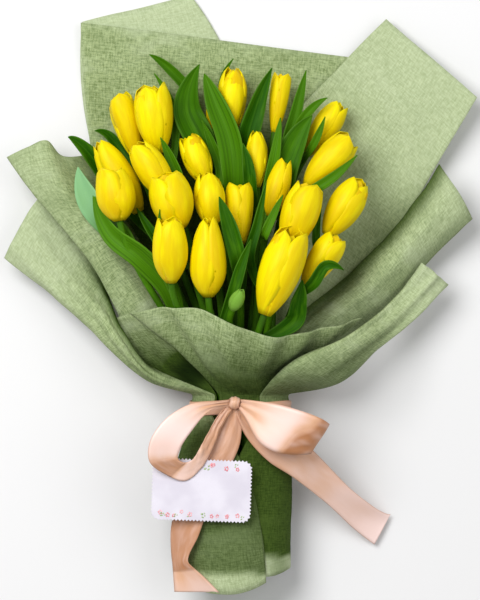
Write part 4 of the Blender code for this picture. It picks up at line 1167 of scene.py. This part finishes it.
def wrap_list():
    """The nine sheets, as the CAD frame has them, with their finer folds.

    The start is the rows under the ribbon. Cut is the sheet laid flat: its greatest width, its
    length along its middle and its area (its sides taper), in metres. Lowest keeps it off what lies
    below. Pleats are counted across it, to this depth, and wave is the height of its creases. Pale
    is the painted light that shows through it where it is single, and deep its painted shade, at a
    place x, y that is a share u of the way across.
    """
    back_sleeve = sleeve(BACK_SLEEVE, [(182, 358), (182, 358), (182, 358)])
    right_sleeve = sleeve(RIGHT_SLEEVE, [(105, -8), (105, -8), (98, -8)])
    left_sleeve = sleeve(LEFT_SLEEVE, [(60, 190), (66, 190), (84, 190)], LEFT_SLACK, LEFT_CHOP)
    return [
        Cloth("back_liner", gather(3, 228, 312), BACK_LINER, cut=(0.137, 0.363, 0.0398),
              rows=60, columns=40, lowest=0.0004, pleats=3, depth=0.0, wave=0.0,
              pale=lambda x, y, u: 0.85,
              deep=lambda x, y, u: neck_painted_shade(y)),
        Cloth("back_sheet", back_sleeve + gather(2, 205, 315), BACK_SHEET, cut=(0.253, 0.460, 0.0715),
              rows=90, columns=56, lowest=0.0018, pleats=4, depth=0.0008, wave=0.0012,
              pale=lambda x, y, u: 0.10 * fade(y, 0.15, 0.22),
              deep=lambda x, y, u: max(neck_painted_shade(y), handle_painted_shade(y, 0.8, BACK_HEM), 1.5 * among_stems(x, y))),
        Cloth("right_upper", gather(1, -44, 8), RIGHT_UPPER_FLAP, cut=(0.133, 0.341, 0.0318),
              rows=64, columns=44, lowest=0.0026, pleats=2, depth=0.0010, wave=0.0020,
              pale=lambda x, y, u: 0.35 + 0.40 * fade(x + 0.5 * y, 0.12, 0.24),
              deep=lambda x, y, u: max(neck_painted_shade(y), 0.80 * near(u, 1.0, 0.30) * (1 - fade(y, 0.02, 0.12)),
                                       0.6 * (1 - fade(y + 0.6 * x, -0.01, 0.07)))),
        Cloth("right_middle", gather(0, -20, 35), RIGHT_MIDDLE_PLEAT, cut=(0.075, 0.253, 0.0144),
              rows=54, columns=36, lowest=0.004, pleats=2, depth=0.0010, wave=0.0024,
              pale=lambda x, y, u: 0.25 + 0.35 * fade(x, 0.12, 0.20),
              deep=lambda x, y, u: max(neck_painted_shade(y), 0.95 * near(u, 0.0, 0.35), 0.35 * near(u, 1.0, 0.3))),
        Cloth("right_lower", right_sleeve + gather(5, 66, -8), RIGHT_LOWER_PLEAT, cut=(0.081, 0.346, 0.0196),
              rows=84, columns=44, lowest=0.002, pleats=3, depth=0.0014, wave=0.0022,
              pale=lambda x, y, u: max(0.20 + 0.55 * fade(x, 0.10, 0.17), hem_pale(y, 1.3, RIGHT_HEM)),
              deep=lambda x, y, u: max(neck_painted_shade(y), handle_painted_shade(y, 1.0, RIGHT_HEM),
                                       0.55 * near(u, 0.6, 0.3) * fade(-y, 0, 0.06))),
        Cloth("front_collar", gather(3, 118, 25, 8), FRONT_COLLAR, cut=(0.248, 0.089, 0.0131),
              rows=40, columns=84, lowest=0.02, pleats=6, depth=0.0022, wave=0.0020,
              pale=lambda x, y, u: 0.0,
              deep=lambda x, y, u: max(neck_painted_shade(y), 0.95 * (1 - fade(y, -0.080, -0.020)))),
        Cloth("left_pleat", gather(4, 131, 121), LEFT_PLEAT, cut=(0.057, 0.120, 0.0035),
              rows=44, columns=30, lowest=0.003, pleats=2, depth=0.0006, wave=0.0012,
              pale=lambda x, y, u: 0.0,
              deep=left_pleat_painted_shade),
        Cloth("left_outer", left_sleeve + gather(5, 123, 188), LEFT_OUTER, cut=(0.094, 0.389, 0.0250),
              rows=84, columns=44, lowest=0.002, pleats=3, depth=0.0014, wave=0.0022,
              pale=lambda x, y, u: max(0.15 + 0.60 * fade(-x, 0.11, 0.18), hem_pale(y, 0.6, LEFT_HEM)),
              deep=left_outer_painted_shade),
        Cloth("left_band", gather(0, 186, 164), LEFT_BAND, cut=(0.092, 0.276, 0.0139),
              rows=64, columns=36, lowest=0.004, pleats=2, depth=0.0010, wave=0.0020,
              pale=lambda x, y, u: 0.10 + 0.30 * fade(-x, 0.13, 0.19),
              deep=lambda x, y, u: max(neck_painted_shade(y), 0.5 * near(u, 1.0, 0.35))),
    ]


# ---- ribbon -------------------------------------------------------------------------------


def ribbon_grid(edges, rows, pleat, last_pinch, crush=0.0, columns=11):
    """A strip of ribbon between two edge lines, pleated where it is pinched.

    Its first end is pinched in the knot, and its last end by the share last_pinch. Crush is the
    depth of the sharp dents in its last part, where it doubles back under the knot.
    """
    grid = smooth_rows([vectors(pair) for pair in edges], rows, columns)
    ups = normals_of(grid)
    shaped = []
    for i, row in enumerate(grid):
        t = i / (rows - 1)
        pinch = max(1 - fade(t, 0.0, 0.30), last_pinch * fade(t, 0.70, 1.0))
        hold = fade(t, 0.0, 0.06) * (1 - last_pinch * fade(t, 0.94, 1.0))
        line = []
        for j, p in enumerate(row):
            u = j / (columns - 1)
            fold = math.sin(math.tau * 2.5 * u + 0.8 * math.sin(t * 9)) * pinch
            soft = 0.35 * math.sin(math.tau * (0.8 * u + 1.7 * t))
            dent = abs(noise.noise(Vector((u * 3.2, t * 21.0, 2.0)))) * fade(t, 0.58, 0.70)
            line.append(p + ups[i][j] * (pleat * (fold + soft) - crush * dent) * hold)
        shaped.append(line)
    return shaped


def tone_at(tones, t):
    """Reads a list of places along the ribbon and tones: 1 is full shade, -1 is full light."""
    for (a, low), (b, high) in zip(tones, tones[1:]):
        if t <= b:
            return low + (high - low) * fade(t, a, b)
    return tones[-1][1]


def knot_grid(rows=28, columns=11):
    """The turn of ribbon over the bow's middle, crowned and pleated along its length."""
    grid = []
    for i in range(rows + 1):
        turn = math.tau * (i % rows) / rows
        row = []
        for j in range(columns):
            s = 2 * j / (columns - 1) - 1
            # Slimmer towards both ends, and pleated.
            girth = math.sqrt(1 - 0.62 * s * s) * (1 + 0.055 * math.sin(s * 9))
            x = s * KNOT_SIZE[0] + 0.0006 * math.sin(turn * 2)
            y = math.cos(turn) * KNOT_SIZE[1] * girth
            z = math.sin(turn) * KNOT_SIZE[2] * girth
            row.append(KNOT_CENTRE + Vector((x, y, z)))
        grid.append(row)
    return grid


def band_grid(rows=96, columns=9):
    """The ribbon round the neck, with soft lengthwise creases."""
    half_x = NECK_INNER[0] + LAYER_STEP[0] * BAND_LAYER
    half_z = NECK_INNER[1] + LAYER_STEP[1] * BAND_LAYER
    low, high = BAND_EDGES_Y
    grid = []
    for i in range(rows + 1):
        turn = math.tau * (i % rows) / rows
        row = []
        for j in range(columns):
            u = j / (columns - 1)
            crease = 0.00035 * math.sin(u * 17 + 1.5 * math.sin(turn * 3))
            x = (half_x + crease) * math.cos(turn)
            y = low + (high - low) * u + 0.0006 * math.sin(turn * 4)   # it isn't quite level
            row.append(Vector((x, y, NECK_Z + (half_z + crease) * math.sin(turn))))
        grid.append(row)
    return grid


# ---- card ---------------------------------------------------------------------------------


def card_place(x, y, z):
    """A place on the card, from its own centre, in the frame."""
    return CARD_CENTRE + Vector((x + y * CARD_TURN, y - x * CARD_TURN, z + x * CARD_SLOPE))


def card_outline():
    """Rounded corners and a pinked edge of small even teeth."""
    half_x, half_y = CARD_SIZE[0] / 2 - TOOTH_DEPTH, CARD_SIZE[1] / 2 - TOOTH_DEPTH
    path = []
    for cx, cy, start in ((1, 1, 0), (-1, 1, 90), (-1, -1, 180), (1, -1, 270)):
        for k in range(7):
            turn = math.radians(start + 15 * k)
            path.append(Vector((cx * (half_x - CARD_CORNER) + CARD_CORNER * math.cos(turn),
                                cy * (half_y - CARD_CORNER) + CARD_CORNER * math.sin(turn))))
    sides = list(zip(path, path[1:] + path[:1]))
    lengths = [math.dist(a, b) for a, b in sides]
    around = sum(lengths)
    teeth = 2 * round(around / TOOTH_PITCH)
    outline = []
    for n in range(teeth):
        place = around * n / teeth
        k = 0
        while place > lengths[k]:
            place -= lengths[k]
            k += 1
        a, b = sides[k]
        along = (b - a).normalized()
        outward = Vector((along.y, -along.x))
        outline.append(a + (b - a) * place / lengths[k] + outward * (TOOTH_DEPTH if n % 2 else 0.0))
    return outline


def card_mesh():
    """The card as one flat face, drawn out to its thickness."""
    work = bmesh.new()
    ring = [work.verts.new(card_place(p.x, p.y, -CARD_THICK / 2)) for p in card_outline()]
    face = work.faces.new(ring)
    lifted = bmesh.ops.extrude_face_region(work, geom=[face])
    for part in lifted["geom"]:
        if isinstance(part, bmesh.types.BMVert):
            part.co.z += CARD_THICK
    bmesh.ops.triangulate(work, faces=work.faces)
    mesh = bpy.data.meshes.new("card")
    work.to_mesh(mesh)
    work.free()
    return mesh


# A blossom's petals are small enough not to lie over one another, which would show dark.
BLOSSOM_PETAL = 0.29             # a petal's radius, as a share of the blossom's
BLOSSOM_RING = 0.52              # how far out its middle lies
BLOSSOM_SPREAD = (0.55, 1.25)    # smallest and largest, over the blossom's usual size


def blossom_tree(sizes):
    """A few rounded petals in a ring on every point, turned and sized at random."""
    tree, kit, fields = geometry_tree("card_blossoms", {
        "Radius": sizes.blossom_radius, "Petals": 5, "Relief": 0.00008, "Seed": 3, "Stretch": 1.0})
    disc = kit.field("GeometryNodeMeshCircle", {"fill_type": "TRIANGLE_FAN"},
                     {"Vertices": 9, "Radius": BLOSSOM_PETAL})
    ring = kit.field("GeometryNodeCurvePrimitiveCircle", None,
                     {"Resolution": fields["Petals"], "Radius": BLOSSOM_RING})
    spots = kit.field("GeometryNodeCurveToPoints", {"mode": "EVALUATED"}, {0: ring})
    flower = kit.field("GeometryNodeInstanceOnPoints", None, {"Points": spots, "Instance": disc})
    flower = kit.field("GeometryNodeRealizeInstances", None, {0: flower})
    spin, grow = [kit.field("FunctionNodeRandomValue", {"data_type": "FLOAT"},
                            {2: low, 3: high, "Seed": fields["Seed"]}, output=1)
                  for low, high in ((0.0, math.tau), BLOSSOM_SPREAD)]
    size = fields["Radius"] * grow
    placed = kit.field("GeometryNodeInstanceOnPoints", None, {
        "Points": fields["Geometry"], "Instance": flower, "Rotation": kit.join(0.0, 0.0, spin),
        "Scale": kit.join(size, size * fields["Stretch"], 1.0)})
    real = kit.field("GeometryNodeRealizeInstances", None, {0: placed})
    raised = kit.node("GeometryNodeExtrudeMesh", {"mode": "FACES"},
                      {"Mesh": real, "Offset Scale": fields["Relief"], "Individual": False})
    close_tree(kit, Field(kit, raised.outputs[0]), fields)
    return tree


# ---- settings -----------------------------------------------------------------------------


def size_prop(name, text, default):
    return FloatProperty(name=name, description=text, default=default, min=0.0, max=1.0, precision=5,
                         subtype="DISTANCE", unit="LENGTH")


def share_prop(name, text, default):
    return FloatProperty(name=name, description=text, default=default, min=0.0, max=2.0, subtype="FACTOR")


def colour_prop(name, text, *display):
    return FloatVectorProperty(name=name, description=text, default=colour(*display), size=4,
                               min=0.0, max=1.0, subtype="COLOR")


class BunchSizes(bpy.types.PropertyGroup):
    """Sizes of the finer parts."""
    petal_columns: IntProperty(name="Petal columns", description="Points across a petal", default=9, min=5)
    petal_rows: IntProperty(name="Petal rows", description="Points along a petal", default=15, min=6)
    petal_half_angle: FloatProperty(
        name="Petal half angle", description="How far a petal reaches round its head",
        default=1.24, min=0.5, max=1.6, subtype="ANGLE")
    petal_crease: share_prop("Petal crease", "Depth of the groove along a petal, over its radius", 0.045)
    petal_ruffle: share_prop("Petal ruffle", "Waves at a petal's edge, over its radius", 0.030)
    petal_thick: size_prop("Petal thickness", "Thickness of a petal", 0.0006)
    leaf_thick: size_prop("Leaf thickness", "Thickness of a leaf", 0.0007)
    stem_sides: IntProperty(name="Stem sides", description="Faces round a stem", default=12, min=6)
    wrap_thick: size_prop("Wrap thickness", "Thickness of the woven wrap", 0.0006)
    thread_pitch: size_prop("Thread pitch", "Spacing of the wrap's threads", 0.0012)
    slub_length: size_prop("Slub length", "Length of the thick places in the threads", 0.007)
    ribbon_thick: size_prop("Ribbon thickness", "Thickness of the satin", 0.0004)
    twine_radius: size_prop("Twine radius", "Half thickness of the binding twine", 0.0006)
    blossom_radius: size_prop("Blossom radius", "Size of a printed blossom", 0.0023)


class BunchColours(bpy.types.PropertyGroup):
    """Colours of the finishes."""
    petal: colour_prop("Petal", "Main yellow of the petals", 228, 208, 0)
    petal_light: colour_prop("Petal light", "Lit yellow", 248, 238, 0)
    petal_shade: colour_prop("Petal shade", "Deeper yellow in the folds", 212, 160, 0)
    petal_base: colour_prop("Petal base", "Green tinge where petal meets stem", 176, 170, 8)
    leaf: colour_prop("Leaf", "Main green of the leaves", 36, 86, 0)
    leaf_light: colour_prop("Leaf light", "Lit green", 76, 128, 10)
    leaf_dark: colour_prop("Leaf dark", "Dark green between veins", 10, 40, 0)
    bud: colour_prop("Bud", "Fresh green of the unopened bud", 128, 176, 66)
    leaf_bloom: colour_prop("Leaf bloom", "Waxy pale bloom on the one curled leaf", 132, 182, 128)
    leaf_edge: colour_prop("Leaf edge", "Pale edge and midrib", 96, 140, 44)
    stem: colour_prop("Stem", "Pale green of the stems", 52, 88, 16)
    wrap: colour_prop("Wrap", "Sage green cloth", 144, 162, 106)
    wrap_light: colour_prop("Wrap light", "Lighter threads", 188, 204, 150)
    wrap_dark: colour_prop("Wrap dark", "Darker threads", 106, 126, 72)
    wrap_gap: colour_prop("Wrap gaps", "Between the threads", 72, 92, 44)
    wrap_pale: colour_prop("Wrap pale", "Where the cloth is single and lit through", 204, 216, 178)
    # Painted shade, multiplied into the cloth where it is gathered, hollow or on the handle.
    wrap_deep: colour_prop("Wrap deep", "In the gathers and on the handle", 104, 124, 66)
    ribbon: colour_prop("Ribbon", "Peach satin", 230, 180, 144)
    ribbon_light: colour_prop("Ribbon light", "Lit satin", 250, 221, 213)
    ribbon_deep: colour_prop("Ribbon deep", "Satin in shade", 178, 120, 78)
    card: colour_prop("Card", "White card", 224, 220, 230)
    card_shade: colour_prop("Card shade", "Mottle of the card", 196, 190, 204)
    blossom: colour_prop("Blossom", "Printed pink", 250, 196, 202)
    blossom_deep: colour_prop("Blossom deep", "Printed red", 228, 120, 128)
    sprig: colour_prop("Sprig", "Printed green", 150, 176, 128)
    twine: colour_prop("Twine", "Twine fibres", 176, 150, 104)
    twine_dark: colour_prop("Twine dark", "Twine between fibres", 122, 96, 60)
    floor: colour_prop("Floor", "Pale floor", 231, 231, 231)


# ---- operators ----------------------------------------------------------------------------


class BUNCH_OT_petals(bpy.types.Operator):
    """Make the closed flower heads, six petals to each"""
    bl_idname = "bunch.petals"
    bl_label = "Petals"

    def execute(self, context):
        sizes, colours = context.scene.bunch_sizes, context.scene.bunch_colours
        look = petal_material(colours)
        tree = tepal_tree(sizes)
        for first in range(0, len(PLANTS), HEADS_TOGETHER):
            some = PLANTS[first:first + HEADS_TOGETHER]
            made = new_object(f"tulip_petals_{some[0].name}_{some[-1].name}", tepal_points(some))
            run_tree(made, tree, {"Material": look})
            thicken(made, sizes.petal_thick)
            settle(made, look, "petal_yellow", [f"head_{plant.name}" for plant in some])
        return {"FINISHED"}


class BUNCH_OT_greens(bpy.types.Operator):
    """Make the stems, the leaves and the one green bud"""
    bl_idname = "bunch.greens"
    bl_label = "Stems and leaves"

    def execute(self, context):
        sizes, colours = context.scene.bunch_sizes, context.scene.bunch_colours
        lines = []
        for plant in PLANTS + [BUD]:
            line = stem_line(plant)
            last = len(line) - 1
            # Thick up to about the neck, and slim from halfway between it and the flower.
            slim = [fade(k / last, 0.2, 0.6) for k in range(last + 1)]
            lines.append([(p, STEM_FOOT_RADIUS + (STEM_RADIUS - STEM_FOOT_RADIUS) * share)
                          for p, share in zip(line, slim)])
        stem_look = stem_material(colours)
        stems = new_object("tulip_stems", line_mesh("stem_lines", lines))
        run_tree(stems, stem_tree(sizes), {"Material": stem_look})
        settle(stems, stem_look, "stem_green", [f"stem_{p.name}" for p in PLANTS])

        grids, places, seeds, blooms = [], [], [], []
        for plant in PLANTS:
            for k, one in enumerate(plant.leaves):
                grid, spots, seed = leaf_grid(plant, one)
                grids.append(grid)
                places += spots
                seeds += seed
                blooms += [float((plant.name, k) == BLOOMED_LEAF)] * len(spots)
        mesh = sheet_mesh("tulip_leaves", grids, petal=places, seed=seeds, bloom=blooms)
        leaves = thicken(new_object("tulip_leaves", mesh), sizes.leaf_thick)
        settle(leaves, leaf_material(colours), "stem_green", [])

        bud = new_object("tulip_bud", tepal_points([BUD]))
        bud_look = leaf_material(colours, 0.8)
        run_tree(bud, tepal_tree(sizes), {"Material": bud_look})
        thicken(bud, sizes.petal_thick)
        settle(bud, bud_look, "stem_green", ["stem_bud"])
        return {"FINISHED"}


class BUNCH_OT_wraps(bpy.types.Operator):
    """Make the nine sheets of woven wrap"""
    bl_idname = "bunch.wraps"
    bl_label = "Woven wrap"

    def execute(self, context):
        sizes, colours = context.scene.bunch_sizes, context.scene.bunch_colours
        look = woven_material("sage_weave", colours, sizes.thread_pitch, sizes.slub_length)
        for seed, spec in enumerate(wrap_list(), 1):
            grid = cloth_grid(spec, float(seed))
            pale, deep = cloth_tones(grid, spec)
            name = "cloth_" + spec.name
            mesh = sheet_mesh(name, [grid], weave=cloth_places(grid), pale=pale, deep=deep)
            made = thicken(new_object(name, mesh), sizes.wrap_thick)
            settle(made, look, "wrap_sage", ["wrap_" + spec.name])
        return {"FINISHED"}


class BUNCH_OT_tie(bpy.types.Operator):
    """Wind the twine that binds the stems under the ribbon"""
    bl_idname = "bunch.tie"
    bl_label = "Binding twine"

    def execute(self, context):
        sizes, colours = context.scene.bunch_sizes, context.scene.bunch_colours
        low, high = TIE_EDGES_Y[0] + TWINE_INSET, TIE_EDGES_Y[1] - TWINE_INSET
        half_x, half_z = TIE_HALF_WIDTHS
        last = TWINE_TURNS * TWINE_STEPS
        line = []
        for k in range(last + 1):
            turn = math.tau * k / TWINE_STEPS
            y = low + (high - low) * k / last
            point = Vector((half_x * math.cos(turn), y, NECK_Z + half_z * math.sin(turn)))
            line.append((point, sizes.twine_radius))
        look = twine_material(colours)
        made = new_object("stem_twine", line_mesh("twine_line", [line]))
        run_tree(made, stem_tree(sizes), {"Material": look, "Sides": 8})
        settle(made, look, "twine", ["stem_tie"])
        return {"FINISHED"}


class BUNCH_OT_ribbon(bpy.types.Operator):
    """Make the satin ribbon: the band, the knot, two loops and two tails"""
    bl_idname = "bunch.ribbon"
    bl_label = "Satin bow"

    def execute(self, context):
        sizes, colours = context.scene.bunch_sizes, context.scene.bunch_colours
        look = satin_material(colours)
        # Each length of it: its name, its length and the area that shows, how it is held, its shape
        # and its tones of painted shade and light. Where it is gathered, less of its width shows.
        strips = [
            ("band", 0.237, 0.0030, "stretched", band_grid(), [(0, 0.35), (1, 0.35)]),
            ("knot", 0.034, 0.00033, "folded", knot_grid(), [(0, 0.20), (1, 0.20)]),
            ("loop_left", 0.176, 0.0029, "folded", ribbon_grid(LEFT_LOOP, 110, 0.0011, 1.0, 0.0018),
             [(0, 0.5), (0.12, 0.1), (0.3, -1.0), (0.41, -0.7), (0.48, 0.7), (0.56, 0.7), (0.60, -0.6),
              (0.69, -0.2), (0.80, 0.6), (1, 0.7)]),
            ("loop_right", 0.157, 0.0044, "folded", ribbon_grid(RIGHT_LOOP, 90, 0.0011, 1.0),
             [(0, 0.45), (0.12, 0.1), (0.34, -0.7), (0.44, -0.1), (0.53, 0.95), (1, 0.8)]),
            ("tail_left", 0.172, 0.0043, "hung", ribbon_grid(LEFT_TAIL, 80, 0.0012, 0.0),
             [(0, 0.6), (0.6, 0.8), (0.79, 0.95), (0.83, 0.1), (1, -0.3)]),
            ("tail_right", 0.179, 0.0046, "hung", ribbon_grid(RIGHT_TAIL, 80, 0.0012, 0.0),
             [(0, 0.6), (0.3, 0.35), (0.5, -0.05), (0.75, -0.6), (1, -1.0)]),
        ]
        for name, length, area, held, grid, tones in strips:
            deep = []
            for i, row in enumerate(grid):
                t = i / (len(grid) - 1)
                # The right loop's far edge turns over into shade.
                turned = 1.5 * near(t, 0.460, 0.10) if name == "loop_right" else 0.0
                for j in range(len(row)):
                    deep.append(tone_at(tones, t) + turned * fade(j / (len(row) - 1), 0.15, 0.75))
            name = "ribbon_" + name
            mesh = sheet_mesh(name, [grid], weave=cloth_places(grid, RIBBON_WIDTH), deep=deep)
            made = thicken(new_object(name, mesh), sizes.ribbon_thick)
            settle(made, look, "satin_peach", ["ribbon_bow"] if name == "ribbon_band" else [])
        return {"FINISHED"}


class BUNCH_OT_card(bpy.types.Operator):
    """Make the pinked card and the small blossoms printed along its edges"""
    bl_idname = "bunch.card"
    bl_label = "Card"

    def execute(self, context):
        sizes, colours = context.scene.bunch_sizes, context.scene.bunch_colours
        card = new_object("gift_card", card_mesh())
        settle(card, card_material(colours), "card_white", ["greeting_card"], crease=40)
        # Each kind of blossom: its name and two inks, how many, petals to each, stretch and seed.
        kinds = [
            ("blossoms_pink", colours.blossom, colours.blossom_deep, 11, 5, 1.0, 3),
            ("blossoms_red", colours.blossom_deep, colours.blossom, 7, 5, 0.8, 11),
            ("blossom_sprigs", colours.sprig, colours.wrap_light, 13, 3, 1.7, 23),
        ]
        tree = blossom_tree(sizes)
        for name, light, dark, count, petals, stretch, seed in kinds:
            spots = []
            for k in range(count):
                a = head_seed(PLANTS[seed % len(PLANTS)], k)
                b = head_seed(PLANTS[(seed + 5) % len(PLANTS)], k + 60)
                edge = 1 if k % 2 else -1
                x = (a - 0.5) * (CARD_SIZE[0] - 2 * PRINT_MARGIN[0])
                y = edge * (CARD_SIZE[1] / 2 - PRINT_MARGIN[1] - PRINT_BAND * b * b)
                spots.append(card_place(x, y, CARD_THICK / 2 + PRINT_LIFT))
            made = new_object(name, point_mesh(name, spots))
            look = ink_material(name + "_ink", light, dark)
            run_tree(made, tree, {"Material": look, "Petals": petals, "Stretch": stretch, "Seed": seed})
            settle(made, look, "card_white", [])
        return {"FINISHED"}


class BUNCH_OT_stage(bpy.types.Operator):
    """Set the pale floor, the soft lights and the camera above the bunch"""
    bl_idname = "bunch.stage"
    bl_label = "Stage"

    def execute(self, context):
        scene = context.scene
        colours = scene.bunch_colours
        floor_look, kit, shader = surface("pale_floor", 0.9)
        cloud = kit.noise(kit.place(), 3.0)
        kit.feed(shader.inputs["Base Color"], kit.mix(cloud * 0.06, colours.floor, colours.card_shade))
        corners = [(x * FLOOR_HALF, y * FLOOR_HALF, FLOOR_Z) for x, y in ((-1, -1), (1, -1), (1, 1), (-1, 1))]
        floor = new_object("floor", point_mesh("floor", corners, faces=[(0, 1, 2, 3)]))
        floor.data.materials.append(floor_look)
        for name, where, size, power in LIGHTS:
            lamp = bpy.data.lights.new(name, "AREA")
            lamp.shape = "DISK"
            lamp.size = size
            lamp.energy = power
            holder = bpy.data.objects.new(name, lamp)
            holder.location = where
            holder.rotation_euler = (-Vector(where)).to_track_quat("-Z", "Y").to_euler()
            scene.collection.objects.link(holder)
        world = bpy.data.worlds.new("soft room")
        world.use_nodes = True
        back = world.node_tree.nodes["Background"]
        back.inputs["Color"].default_value = (1.0, 1.0, 1.0, 1.0)
        back.inputs["Strength"].default_value = ROOM_LIGHT
        scene.world = world
        lens = bpy.data.cameras.new("camera")
        lens.sensor_width = SENSOR
        lens.lens = SENSOR * CAMERA_HEIGHT / VIEW_HEIGHT
        lens.clip_end = 20.0
        camera = bpy.data.objects.new("camera", lens)
        camera.location = (VIEW_CENTRE[0], VIEW_CENTRE[1], CAMERA_HEIGHT + VIEW_LEVEL)
        scene.collection.objects.link(camera)
        scene.camera = camera
        scene.view_settings.view_transform = "Standard"
        return {"FINISHED"}


class BUNCH_PT_panel(bpy.types.Panel):
    """Lists the steps that build the bunch"""
    bl_idname = "BUNCH_PT_panel"
    bl_label = "Tulip bunch"
    bl_space_type = "VIEW_3D"
    bl_region_type = "UI"
    bl_category = "Tulips"

    def draw(self, context):
        for step in STEPS:
            self.layout.operator(step.bl_idname)
        for group in (context.scene.bunch_sizes, context.scene.bunch_colours):
            box = self.layout.box()
            for key in group.__annotations__:
                box.prop(group, key)


STEPS = (BUNCH_OT_stage, BUNCH_OT_petals, BUNCH_OT_greens, BUNCH_OT_wraps, BUNCH_OT_tie, BUNCH_OT_ribbon,
         BUNCH_OT_card)
CLASSES = (BunchSizes, BunchColours) + STEPS + (BUNCH_PT_panel,)


def register():
    for cls in CLASSES:
        bpy.utils.register_class(cls)
    bpy.types.Scene.bunch_sizes = PointerProperty(type=BunchSizes)
    bpy.types.Scene.bunch_colours = PointerProperty(type=BunchColours)


def unregister():
    del bpy.types.Scene.bunch_colours
    del bpy.types.Scene.bunch_sizes
    for cls in reversed(CLASSES):
        bpy.utils.unregister_class(cls)


def main():
    register()
    bpy.ops.bunch.stage()
    bpy.ops.bunch.petals()
    bpy.ops.bunch.greens()
    bpy.ops.bunch.wraps()
    bpy.ops.bunch.tie()
    bpy.ops.bunch.ribbon()
    bpy.ops.bunch.card()


if __name__ == "__main__":
    main()
